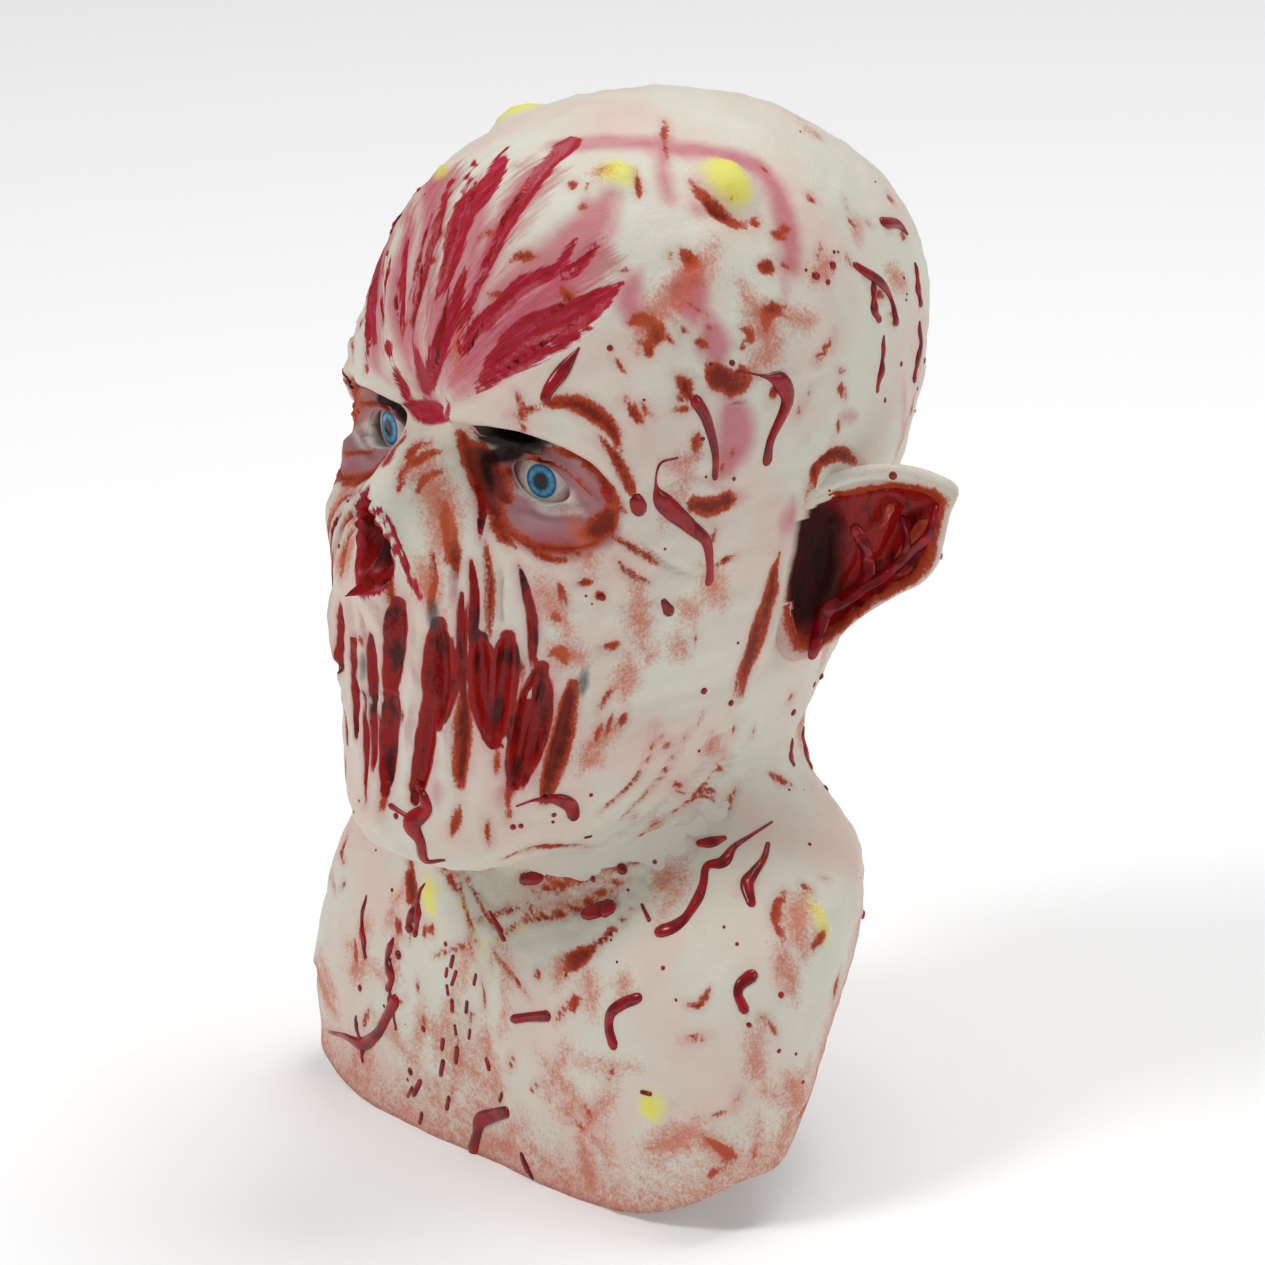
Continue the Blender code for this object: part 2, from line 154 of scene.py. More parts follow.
# Swellings and hollows, the same on both sides: x and wide in head widths, z and tall in
# head heights, height in metres.
SWELLINGS = (
    (0.000, -0.345, 0.110, 0.040, 0.0020),
    (0.200, -0.318, 0.130, 0.030, 0.0045),
    (0.400, -0.375, 0.085, 0.070, 0.0075),
    (0.225, -0.425, 0.125, 0.066, -0.0215),
    (0.125, -0.400, 0.070, 0.055, -0.0090),
    (0.000, -0.350, 0.085, 0.045, -0.0125),
    (0.000, -0.464, 0.068, 0.066, 0.0178),
    (0.000, -0.560, 0.055, 0.060, 0.0125),
    (0.340, -0.545, 0.140, 0.060, 0.0050),
    (0.370, -0.680, 0.110, 0.100, -0.0040),
    (0.170, -0.680, 0.090, 0.120, 0.0030),
    (0.000, -0.630, 0.110, 0.045, 0.0020),
    (0.000, -0.945, 0.150, 0.045, 0.0030),
    (0.350, -0.830, 0.100, 0.060, 0.0030),
    (0.430, -1.320, 0.160, 0.060, 0.0015),
    (0.000, -1.300, 0.060, 0.080, -0.0040),
)

# Ear outline in ear lengths, back and up from the root in the plane of the ear
EAR_OUTLINE = (
    (-0.12, 0.06), (0.04, 0.17), (0.24, 0.24), (0.45, 0.25), (0.64, 0.20), (0.78, 0.11),
    (0.74, -0.03), (0.71, -0.18), (0.68, -0.30), (0.60, -0.40), (0.48, -0.46), (0.34, -0.54),
    (0.23, -0.62), (0.13, -0.72), (0.00, -0.80), (-0.12, -0.80), (-0.17, -0.66),
    (-0.18, -0.48), (-0.18, -0.30), (-0.17, -0.10),
)
EAR_CENTRE = (0.27, -0.20)
# Loops of an ear, size and lift, from the back of its bowl over its edge to its floor
EAR_LOOPS = (
    (0.30, -0.260), (0.62, -0.180), (0.88, -0.075), (0.99, -0.025), (1.00, 0.020),
    (0.93, 0.045), (0.84, 0.030), (0.76, -0.030), (0.55, -0.110), (0.28, -0.140),
)

# Pale folds in the bowl, and the line of its near-black painted shade in the depth, between places
# like those of the outline
EAR_FOLDS = (
    ((0.14, -0.10), (0.20, -0.30)), ((0.20, -0.30), (0.10, -0.52)),
    ((0.44, -0.02), (0.36, -0.24)), ((0.60, -0.10), (0.48, -0.30)),
)
EAR_FOLD_HEIGHT = 0.055
EAR_FOLD_REACH = 0.085
EAR_DEPTH = ((0.00, -0.14), (-0.02, -0.44))

# Marks on the skin, placed by pixels of the photograph: layer of paint or "" for none, shape
# along the line, half-width in mm, depth in mm with ridges below 0, whether the other side
# has one too, and the line.
MARKS = (
    # strands and wounds of the mouth
    ("gore", "pod", 3.2, 3.0, False, ((341, 606), (339, 640), (339, 676))),
    ("gore", "pod", 2.8, 3.0, False, ((352, 640), (354, 690), (356, 736))),
    ("gore", "pod", 3.0, 3.0, False, ((370, 636), (374, 704))),
    ("gore", "pod", 2.0, 2.5, False, ((374, 698), (372, 770))),
    ("gore", "lens", 2.0, 2.5, False, ((365, 686), (365, 804))),
    ("gore", "pod", 5.6, 5.0, False, ((398, 604), (394, 650), (388, 696))),
    ("gore", "pod", 5.2, 4.5, False, ((394, 690), (388, 740), (384, 790))),
    ("gore", "pod", 7.0, 6.0, False, ((440, 626), (439, 670), (436, 722))),
    ("gore", "pod", 4.4, 4.0, False, ((430, 690), (424, 750), (414, 800))),
    ("gore", "pod", 2.0, 3.0, True, ((461, 594), (462, 640), (463, 704))),
    ("stain", "pod", 3.2, 2.9, True, ((464, 690), (463, 740), (459, 786))),
    ("gore", "pod", 1.9, 2.5, True, ((470, 560), (474, 600), (472, 648))),
    ("gore", "pod", 5.8, 5.5, True, ((480, 638), (484, 690), (490, 736))),
    ("gore", "pod", 5.6, 5.0, True, ((508, 636), (502, 690), (494, 742))),
    ("gore", "pod", 5.8, 5.0, True, ((542, 668), (530, 715), (514, 784))),
    ("gore", "lens", 3.8, 4.0, True, ((552, 680), (540, 730), (522, 790))),
    ("stain", "pod", 4.4, 3.5, True, ((574, 684), (562, 735), (545, 800))),
    ("gore", "lens", 2.0, 2.9, True, ((519, 566), (530, 606), (533, 640), (532, 676))),
    ("gore", "pod", 2.2, 2.5, False, ((428, 736), (422, 786))),
    # tendons between the nose and the mouth
    ("bruise", "lens", 1.6, 2.4, True, ((455, 530), (455, 560), (452, 606))),
    ("stain", "lens", 1.8, 2.6, True, ((485, 540), (489, 580), (490, 636))),
    ("stain", "lens", 1.6, 2.6, True, ((432, 548), (434, 580), (430, 612))),
    ("stain", "lens", 1.6, 1.9, False, ((388, 576), (392, 610))),
    ("bruise", "lens", 1.2, 1.6, False, ((358, 606), (364, 640))),
    ("", "lens", 2.0, 2.2, True, ((500, 560), (502, 600), (500, 634))),
    ("", "lens", 1.6, 2.2, True, ((416, 604), (414, 660), (410, 720))),
    ("", "lens", 1.6, 1.6, False, ((376, 592), (376, 630))),
    ("", "lens", 2.4, -1.9, True, ((418, 620), (414, 680), (404, 760))),
    ("", "lens", 2.2, -1.9, True, ((452, 620), (450, 700), (442, 780))),
    ("", "lens", 2.4, -1.9, True, ((520, 640), (512, 700), (504, 760))),
    # forehead muscles, fanning up from the root of the nose
    ("flesh", "lens", 1.8, 1.6, False, ((392, 256), (384, 290), (382, 330))),
    ("flesh", "lens", 2.2, 1.9, False, ((456, 162), (441, 210), (428, 256), (420, 292),
                                        (411, 334))),
    ("flesh", "lens", 2.4, 1.9, False, ((406, 236), (402, 280), (402, 332))),
    ("flesh", "lens", 5.6, 2.2, False, ((506, 150), (487, 186), (463, 214), (450, 256),
                                        (438, 300))),
    ("flesh", "lens", 2.2, 2.6, False, ((479, 150), (462, 200), (450, 240), (436, 310))),
    ("flesh", "tail", 4.2, 2.2, False, ((571, 140), (547, 166), (523, 200), (503, 232),
                                        (487, 265), (470, 300), (456, 350))),
    ("flesh", "lens", 3.6, 1.9, False, ((576, 240), (557, 268), (525, 284), (501, 306),
                                        (477, 330), (458, 360))),
    ("flesh", "lens", 1.8, 1.3, False, ((602, 238), (580, 264), (560, 282))),
    ("flesh", "lens", 6.4, 2.6, True, ((622, 284), (594, 304), (564, 320), (530, 334),
                                       (506, 353), (478, 380))),
    ("flesh", "lens", 2.4, 1.9, True, ((594, 330), (550, 350), (511, 370), (470, 396))),
    ("flesh", "lens", 4.2, 2.9, False, ((464, 266), (455, 304), (441, 340), (430, 376),
                                        (425, 400))),
    ("flesh", "lens", 2.2, 1.6, False, ((392, 366), (404, 390), (414, 402))),
    ("flesh", "lens", 3.0, 1.0, False, ((386, 342), (391, 356))),
    ("flesh", "lens", 4.2, 0.6, False, ((404, 404), (426, 412), (452, 416))),
    ("flesh", "lens", 2.0, 1.0, False, ((446, 398), (454, 420))),
    ("flesh", "lens", 2.4, 1.0, False, ((412, 342), (420, 372), (422, 396))),
    ("blush", "even", 5.0, 0.0, False, ((430, 180), (420, 260), (412, 330), (425, 390))),
    ("blush", "lens", 6.0, 0.0, False, ((540, 170), (500, 230), (470, 300), (440, 390))),
    ("blush", "lens", 7.0, 0.0, True, ((600, 280), (540, 320), (480, 375), (450, 402))),
    ("blush", "lens", 5.0, 0.0, False, ((590, 200), (560, 240), (500, 290), (460, 350))),
    ("blush", "pod", 9.0, 0.0, False, ((432, 370), (450, 300), (480, 190))),
    ("blush", "pod", 10.0, 0.0, False, ((452, 380), (520, 310), (610, 200))),
    ("blush", "pod", 7.0, 0.0, False, ((410, 370), (396, 300), (410, 220))),
    ("flesh", "lens", 1.3, 1.9, False, ((508, 216), (480, 280), (462, 338))),
    ("flesh", "lens", 1.3, 1.9, False, ((432, 210), (420, 250), (412, 300))),
    ("raw", "head", 12.0, 0.0, False, ((432, 396), (428, 330), (430, 260), (445, 180))),
    ("raw", "head", 12.0, 0.0, False, ((436, 396), (460, 320), (490, 250), (540, 170))),
    ("raw", "head", 11.0, 0.0, True, ((440, 398), (480, 350), (540, 300), (600, 262))),
    ("raw", "head", 8.0, 0.0, False, ((425, 396), (408, 330), (402, 270), (410, 210))),
    ("gore", "lens", 0.9, 1.6, False, ((450, 277), (440, 326), (428, 378))),
    ("gore", "lens", 1.2, 1.6, False, ((478, 175), (470, 194), (464, 212))),
    ("gore", "lens", 0.9, 1.6, False, ((524, 189), (506, 214), (492, 240))),
    ("gore", "lens", 0.9, 1.6, True, ((580, 290), (552, 312), (524, 332))),
    ("gore", "lens", 0.9, 1.6, True, ((598, 304), (548, 340), (492, 378))),
    ("gore", "lens", 0.9, 1.6, False, ((423, 258), (416, 300), (409, 337))),
    ("gore", "lens", 0.8, 1.6, False, ((492, 304), (476, 334), (464, 360))),
    ("gore", "lens", 0.8, 1.6, False, ((396, 270), (396, 310), (404, 350))),
    # magenta airbrushed edge of the raw forehead and its patches
    ("blush", "even", 5.6, 0.0, False, ((560, 144), (600, 142), (658, 146), (721, 155),
                                       (763, 171), (784, 216), (792, 262))),
    ("blush", "even", 3.4, 0.0, False, ((662, 140), (663, 170), (668, 196))),
    ("blush", "pod", 8.0, 0.0, True, ((692, 272), (690, 296), (694, 320))),
    ("blush", "pod", 7.0, 0.0, True, ((706, 322), (714, 340), (718, 362))),
    ("blush", "pod", 8.5, 0.0, True, ((728, 400), (736, 432), (726, 470))),
    ("blush", "lens", 4.0, 0.0, True, ((792, 500), (782, 540))),
    ("blush", "lens", 3.0, 0.0, True, ((620, 210), (604, 240), (590, 260))),
    ("blush", "lens", 2.0, 0.0, True, ((770, 230), (786, 280), (780, 320))),
    ("blush", "lens", 3.0, 0.0, False, ((610, 214), (586, 248))),
    ("blush", "lens", 6.0, 0.0, True, ((640, 270), (628, 300), (644, 330))),
    ("blush", "lens", 2.5, 0.0, True, ((690, 200), (700, 214))),
    ("blush", "lens", 1.0, 0.0, True, ((660, 460), (700, 480), (748, 498))),
    ("blush", "lens", 1.6, 0.0, True, ((868, 600), (830, 640))),
    # blisters
    ("yolk", "even", 6.0, 0.0, False, ((524, 110), (530, 109))),
    ("yolk", "even", 2.6, 0.0, False, ((440, 172), (443, 175))),
    ("yolk", "even", 5.4, 0.0, False, ((613, 174), (621, 176))),
    ("yolk", "even", 7.4, 0.0, True, ((721, 177), (729, 191))),
    ("yolk", "lens", 3.6, 0.0, False, ((427, 876), (432, 916))),
    ("yolk", "lens", 3.0, 0.0, False, ((808, 900), (816, 916), (826, 944))),
    ("yolk", "lens", 5.2, 0.0, False, ((648, 1092), (660, 1118))),
    # orange-brown stains
    ("stain", "lens", 1.8, 0.8, False, ((666, 118), (664, 140), (668, 164))),
    ("stain", "lens", 2.8, 1.3, False, ((690, 178), (700, 196), (716, 212), (738, 224),
                                        (752, 222))),
    ("stain", "lens", 2.0, 0.6, False, ((574, 178), (572, 190))),
    ("stain", "lens", 1.8, 0.6, False, ((588, 184), (585, 194))),
    ("stain", "lens", 1.6, 0.6, False, ((634, 172), (640, 190), (636, 200))),
    ("stain", "lens", 1.6, 0.6, False, ((590, 200), (578, 212))),
    ("stain", "lens", 3.0, 1.3, True, ((680, 250), (692, 262), (684, 272))),
    ("stain", "lens", 2.2, 1.0, True, ((758, 216), (754, 230))),
    ("stain", "lens", 2.6, 1.0, True, ((756, 270), (770, 266), (774, 276))),
    ("stain", "lens", 3.0, 1.0, True, ((762, 312), (778, 310), (786, 316))),
    ("stain", "lens", 2.2, 1.0, True, ((764, 312), (768, 332))),
    ("stain", "lens", 3.2, 1.3, True, ((628, 322), (646, 320), (656, 334), (640, 344))),
    ("stain", "lens", 2.4, 1.0, True, ((646, 344), (652, 356))),
    ("stain", "lens", 3.0, 1.3, True, ((676, 376), (684, 384), (690, 400))),
    ("stain", "even", 4.6, 0.6, True, ((716, 376), (732, 384), (742, 378))),
    ("stain", "lens", 2.2, 0.8, True, ((628, 404), (642, 424))),
    ("stain", "lens", 2.2, 0.8, True, ((696, 430), (700, 458))),
    ("stain", "even", 3.6, 0.6, True, ((696, 504), (712, 508), (728, 500))),
    ("stain", "lens", 1.4, 0.6, True, ((812, 362), (830, 344), (836, 332))),
    ("stain", "lens", 2.0, 0.5, True, ((806, 196), (816, 202))),
    ("stain", "lens", 1.2, 0.5, True, ((850, 212), (858, 238))),
    ("stain", "lens", 1.4, 0.5, True, ((844, 250), (852, 268))),
    ("stain", "lens", 1.2, 0.5, True, ((820, 240), (818, 262))),
    ("stain", "lens", 3.0, 1.6, True, ((862, 466), (838, 453), (818, 466), (808, 494),
                                       (806, 512))),
    ("stain", "lens", 4.2, 1.3, True, ((778, 552), (768, 600), (756, 640), (742, 680),
                                       (732, 712))),
    ("stain", "lens", 1.4, 1.0, True, ((716, 566), (736, 556))),
    ("stain", "lens", 1.4, 1.3, True, ((612, 536), (640, 552), (660, 566))),
    ("stain", "lens", 1.3, 1.3, True, ((618, 560), (628, 572), (650, 584))),
    ("stain", "lens", 1.6, 1.3, True, ((558, 582), (564, 598), (566, 608))),
    ("stain", "lens", 1.6, 1.0, True, ((554, 612), (560, 622))),
    ("stain", "lens", 1.6, 1.0, True, ((576, 584), (592, 582))),
    ("stain", "lens", 1.8, 1.0, True, ((598, 592), (602, 600))),
    ("stain", "lens", 1.4, 0.8, True, ((600, 648), (612, 646), (622, 642))),
    ("stain", "lens", 2.4, 0.6, True, ((548, 656), (560, 652), (566, 664))),
    # under the brow and round the eye
    ("", "even", 4.5, -2.6, True, ((450, 414), (490, 419), (540, 430), (590, 454), (630, 488))),
    ("", "lens", 3.4, 3.2, True, ((466, 434), (500, 441), (550, 447), (592, 470), (622, 506))),
    ("bruise", "lens", 2.2, -2.9, True, ((497, 473), (516, 450), (538, 451), (566, 468),
                                         (594, 494), (606, 514))),
    ("stain", "lens", 1.3, 2.1, True, ((506, 480), (524, 462), (548, 461), (574, 475),
                                       (596, 496))),
    ("bruise", "lens", 1.7, -1.9, True, ((516, 494), (531, 504), (552, 508), (576, 507),
                                         (594, 500))),
    ("bruise", "pod", 5.4, -2.6, True, ((516, 514), (550, 527), (590, 522))),
    ("bruise", "even", 7.0, 0.0, True, ((506, 478), (540, 462), (578, 478), (602, 508))),
    ("bruise", "even", 7.0, 0.0, True, ((510, 506), (550, 540), (600, 530))),
    ("blush", "lens", 3.4, 0.0, True, ((512, 536), (548, 545), (590, 536))),
    ("blush", "lens", 2.2, 0.0, True, ((498, 470), (520, 450), (546, 452))),
    ("stain", "lens", 1.8, 2.0, True, ((500, 504), (514, 534), (545, 548), (585, 546),
                                       (614, 528))),
    ("stain", "pod", 4.4, 1.0, True, ((584, 534), (602, 526), (610, 510))),
    ("stain", "lens", 2.4, 0.6, True, ((500, 482), (506, 474), (518, 468))),
    ("stain", "lens", 1.8, 0.6, True, ((600, 486), (612, 500), (618, 518))),
    # brown stain in the inner corner of the eye, and near-black painted shade round the vision hole
    # and down the inner corner
    ("stain", "pod", 4.4, 1.3, True, ((462, 434), (474, 462), (490, 500), (502, 520))),
    ("shade", "pod", 5.4, 1.0, True, ((480, 438), (512, 443), (546, 447))),
    ("shade", "pod", 5.0, 0.6, True, ((484, 464), (500, 454), (524, 450))),
    ("shade", "lens", 3.4, 0.6, True, ((478, 440), (486, 468), (494, 500))),
    ("stain", "pod", 5.5, 0.6, True, ((478, 446), (490, 474), (506, 500))),
    ("stain", "lens", 3.0, 0.6, True, ((494, 500), (500, 530), (516, 548))),
    ("stain", "pod", 1.8, 0.6, True, ((546, 450), (580, 462), (606, 484), (624, 512))),
    ("stain", "lens", 3.2, 1.9, True, ((540, 406), (566, 402), (592, 412), (612, 430),
                                       (622, 452))),
    ("stain", "lens", 2.0, 1.6, True, ((600, 436), (616, 458), (630, 486), (638, 502))),
    ("stain", "lens", 1.4, 1.3, True, ((508, 414), (530, 410), (548, 404))),
    ("flesh", "lens", 1.4, 0.0, True, ((604, 488), (610, 500))),
    ("stain", "lens", 1.6, 1.6, True, ((528, 546), (548, 558), (570, 560))),
    ("stain", "lens", 1.3, 1.3, True, ((534, 540), (540, 560))),
    ("stain", "lens", 1.3, 1.3, True, ((570, 546), (582, 556))),
    ("bruise", "lens", 2.4, 0.0, False, ((364, 396), (380, 408), (396, 424))),
    ("bruise", "lens", 2.8, 0.0, False, ((358, 424), (370, 444), (392, 446))),
    ("stain", "lens", 2.0, 1.0, False, ((358, 382), (354, 400), (356, 430))),
    ("stain", "lens", 1.8, 1.0, False, ((340, 452), (356, 458), (376, 452))),
    ("blush", "lens", 2.4, 0.0, False, ((340, 466), (360, 470))),
    # nose
    ("stain", "lens", 1.8, 1.6, True, ((398, 500), (404, 474), (424, 456), (446, 450))),
    ("stain", "lens", 1.4, 1.3, True, ((416, 502), (424, 480), (446, 470))),
    ("stain", "lens", 1.4, 1.3, True, ((404, 470), (414, 448), (436, 440))),
    ("flesh", "lens", 2.2, 0.6, False, ((396, 446), (386, 462), (378, 470))),
    ("flesh", "lens", 1.4, -1.3, False, ((364, 497), (376, 508), (392, 530), (404, 560),
                                         (414, 584), (420, 598))),
    ("flesh", "even", 1.6, 0.0, False, ((412, 580), (420, 596))),
    ("stain", "lens", 3.0, 1.3, True, ((444, 500), (450, 540), (456, 576))),
    ("gore", "lens", 1.6, 1.9, True, ((474, 476), (482, 504), (480, 540))),
    ("stain", "lens", 1.8, 1.9, True, ((488, 548), (490, 580), (490, 634))),
    ("blush", "lens", 2.2, 0.0, True, ((474, 560), (474, 620))),
    ("blush", "lens", 2.4, 0.0, True, ((532, 580), (536, 620), (536, 660))),
    ("blush", "lens", 2.0, 0.0, False, ((436, 780), (437, 806))),
    ("blush", "lens", 2.0, 0.0, True, ((504, 784), (498, 806))),
    ("blush", "lens", 2.0, 0.0, False, ((414, 700), (408, 750))),
    # near-black streaks among the strands of the mouth
    ("soot", "lens", 2.2, 0.0, False, ((434, 598), (434, 632))),
    ("soot", "lens", 1.6, 0.0, False, ((363, 652), (363, 680))),
    ("soot", "lens", 1.8, 0.0, True, ((585, 668), (582, 696))),
    ("stain", "lens", 1.8, 1.0, False, ((459, 806), (456, 820), (451, 838))),
    ("stain", "lens", 1.6, 1.0, False, ((384, 788), (382, 816))),
    ("stain", "lens", 1.6, 1.0, True, ((513, 770), (506, 812))),
    # wrinkles fanning over the jaw and down the neck
    ("stain", "lens", 1.2, 1.6, True, ((500, 858), (540, 846), (590, 846))),
    ("stain", "lens", 1.6, 1.6, True, ((515, 876), (560, 872), (608, 872))),
    ("stain", "lens", 1.5, 1.6, True, ((530, 892), (570, 882), (622, 868))),
    ("stain", "lens", 1.8, 1.6, True, ((526, 922), (570, 910), (624, 880))),
    ("stain", "lens", 1.4, 1.6, True, ((560, 958), (600, 940), (640, 900))),
    ("stain", "lens", 2.6, 1.3, True, ((622, 866), (642, 852), (668, 840))),
    ("stain", "pod", 3.6, 1.0, True, ((566, 968), (580, 956), (592, 950))),
    ("rust", "lens", 3.2, 0.0, True, ((520, 880), (570, 880), (620, 866))),
    ("rust", "lens", 3.0, 0.0, True, ((530, 910), (590, 900), (630, 880))),
    ("stain", "lens", 1.0, 1.6, True, ((620, 820), (660, 780), (690, 730))),
    ("stain", "lens", 1.0, 1.6, True, ((600, 812), (634, 780), (660, 740))),
    ("stain", "lens", 0.9, 1.3, True, ((640, 836), (690, 800), (724, 760))),
    ("", "lens", 1.6, 1.9, True, ((560, 866), (630, 830), (700, 770), (740, 700))),
    ("", "lens", 1.6, 1.9, True, ((540, 900), (620, 856), (700, 800), (756, 730))),
    ("", "lens", 1.4, 1.6, True, ((560, 940), (640, 880), (720, 810), (776, 740))),
    ("", "lens", 1.4, -1.9, True, ((470, 880), (490, 920), (500, 960))),
    ("yolk", "lens", 0.2, 0.0, True, ((458, 900), (474, 930), (490, 960))),
    ("stain", "lens", 0.9, 1.3, True, ((458, 876), (466, 910), (480, 950))),
    ("stain", "lens", 0.9, 1.0, True, ((462, 870), (478, 900), (498, 930))),
    ("stain", "lens", 1.1, 1.0, True, ((492, 950), (516, 980), (530, 1000))),
    ("stain", "lens", 0.9, 1.0, True, ((470, 940), (480, 976), (486, 1010))),
    ("stain", "lens", 2.0, 0.8, True, ((400, 920), (396, 936))),
    ("stain", "lens", 2.0, 0.8, True, ((429, 924), (433, 934))),
    ("stain", "lens", 1.3, 0.8, True, ((676, 780), (684, 796))),
    ("stain", "lens", 1.3, 1.0, True, ((600, 722), (596, 742))),
    ("stain", "lens", 1.3, 1.0, True, ((612, 714), (604, 736))),
    ("stain", "lens", 1.6, 1.0, True, ((628, 712), (618, 728))),
    ("stain", "lens", 1.0, 1.0, True, ((664, 734), (650, 748))),
    ("stain", "lens", 1.0, 1.0, True, ((674, 738), (662, 752))),
    ("rust", "lens", 5.0, 0.0, True, ((548, 648), (570, 656), (590, 660))),
    ("rust", "lens", 5.0, 0.0, True, ((628, 654), (628, 676), (624, 700))),
    ("rust", "lens", 4.0, 0.0, True, ((576, 760), (600, 740), (620, 726))),
    ("rust", "lens", 5.0, 0.0, True, ((582, 772), (590, 760), (600, 745))),
    ("rust", "lens", 4.0, 0.0, True, ((676, 600), (690, 610), (694, 628))),
    ("rust", "lens", 4.0, 0.0, True, ((674, 634), (680, 650), (684, 662))),
    ("rust", "lens", 6.0, 0.0, True, ((700, 1120), (680, 1140), (640, 1150))),
    ("rust", "lens", 7.0, 0.0, True, ((404, 470), (430, 480), (444, 520), (440, 560))),
    ("rust", "lens", 6.0, 0.0, True, ((420, 560), (430, 590), (440, 610))),
    ("rust", "lens", 6.0, 0.0, True, ((716, 240), (700, 270), (650, 320), (640, 350))),
    ("rust", "lens", 6.0, 0.0, True, ((740, 280), (760, 320), (770, 350), (740, 380))),
    ("stain", "lens", 2.0, 0.6, True, ((786, 888), (776, 914), (784, 944))),
    ("stain", "lens", 1.6, 0.6, True, ((800, 884), (812, 892))),
    ("stain", "lens", 1.8, 0.6, True, ((822, 932), (812, 950))),
    ("rust", "lens", 6.0, 0.0, True, ((806, 890), (796, 920), (806, 960))),
    ("stain", "lens", 1.3, 0.6, True, ((712, 986), (700, 1004), (684, 1004))),
    ("stain", "lens", 1.3, 0.6, True, ((680, 1040), (712, 1036))),
    ("stain", "lens", 1.3, 0.6, True, ((584, 996), (566, 1008))),
    ("stain", "lens", 1.6, 0.6, True, ((838, 970), (832, 1000))),
    ("stain", "lens", 2.4, 1.3, True, ((704, 1134), (722, 1150), (740, 1158))),
    ("gore", "pod", 5.0, 2.5, True, ((807, 556), (803, 584), (800, 612))),
    ("stain", "lens", 2.4, 1.6, True, ((800, 550), (796, 584), (796, 616))),
    # veins
    ("", "even", 1.0, -1.8, True, ((668, 282), (670, 310), (678, 330), (675, 350))),
    ("", "even", 1.0, -1.8, True, ((668, 284), (680, 274), (700, 276))),
    ("", "even", 1.0, -1.8, True, ((746, 308), (744, 334), (747, 358))),
    ("", "even", 1.0, -1.8, True, ((746, 310), (760, 300), (780, 304))),
    ("", "even", 1.1, -1.9, True, ((786, 378), (800, 370), (820, 366), (838, 356))),
    ("", "even", 1.1, -1.9, True, ((679, 371), (692, 370), (700, 382), (699, 402))),
    ("", "even", 1.0, -1.6, True, ((700, 382), (720, 396), (742, 404))),
    # ridges of the nose, brow and cheek
    ("", "lens", 3.0, -2.0, True, ((478, 420), (516, 424), (560, 436), (600, 462))),
    ("", "lens", 1.4, 1.6, True, ((640, 540), (668, 566), (700, 578))),
    # collar bone and the skin below it
    ("", "lens", 5.0, -3.0, False, ((664, 1096), (700, 1124), (744, 1156))),
    ("rust", "lens", 5.0, 1.3, True, ((690, 1128), (716, 1148), (740, 1162))),
    ("rust", "lens", 2.4, 0.6, True, ((560, 1050), (590, 1064), (640, 1068))),
)

LAYERS = ("blush", "bruise", "yolk", "stain", "rust", "raw", "flesh", "gore", "soot", "shade")

# Stray marks of the dry brush, scattered all round: layer, shape, count, shortest and
# longest in mm, least and most half-width in mm, depth in mm, the heights that they lie
# between in head heights, and how far they lean from upright in degrees.
STRAYS = (
    ("stain", "lens", 70, (3, 12), (0.5, 1.5), 0.3, -0.95, -0.35, 40),
    ("stain", "lens", 60, (4, 14), (0.6, 1.6), 0.4, -1.40, -0.90, 80),
    ("stain", "lens", 60, (2, 9), (0.6, 1.6), 0.3, -0.45, -0.03, 90),
    ("stain", "lens", 60, (3, 11), (0.7, 2.2), 0.5, -0.36, -0.10, 90),
    ("rust", "lens", 70, (8, 34), (2.0, 6.0), 0.0, -1.48, -0.55, 30),
    ("rust", "lens", 24, (8, 24), (2.0, 5.0), 0.0, -0.60, -0.03, 80),
    ("rust", "lens", 46, (12, 40), (2.0, 5.0), 0.0, -1.50, -1.30, 90),
    ("blush", "lens", 26, (8, 26), (0.6, 2.4), 0.0, -1.20, -0.10, 90),
)

# Blisters raised above the skin: radius and height in mm, whether the other side has one
# too, and the pixel of the middle.
BLISTERS = (
    (8.0, 5.0, False, (527, 110)),
    (3.8, 3.0, False, (441, 174)),
    (7.5, 3.5, False, (617, 176)),
    (10.5, 5.5, True, (725, 185)),
    (4.0, 2.0, True, (700, 204)),
    (5.0, 1.5, False, (429, 896)),
    (7.0, 2.0, False, (814, 922)),
    (8.0, 3.0, False, (655, 1105)),
)


def ease(share):
    """Run smoothly from 0 to 1 as share does."""
    share = np.clip(share, 0.0, 1.0)
    return share * share * (3.0 - 2.0 * share)


# Form of the head


def column_angles(face_columns, back_columns):
    """Angles of the columns round the form, 0 at the face and positive to the wearer's left."""
    face = np.linspace(-FACE_ANGLE, FACE_ANGLE, face_columns + 1)
    back = np.linspace(FACE_ANGLE, 360.0 - FACE_ANGLE, back_columns + 1)[1:-1]
    return np.radians(np.concatenate([face, back]))


def row_places(fineness):
    """Places of the rows down the form, in sections."""
    places = []
    for index, section in enumerate(SECTIONS[:-1]):
        steps = section[-1] * fineness
        places.extend(index + k / steps for k in range(steps))
    places.append(len(SECTIONS) - 1)
    return np.array(places)


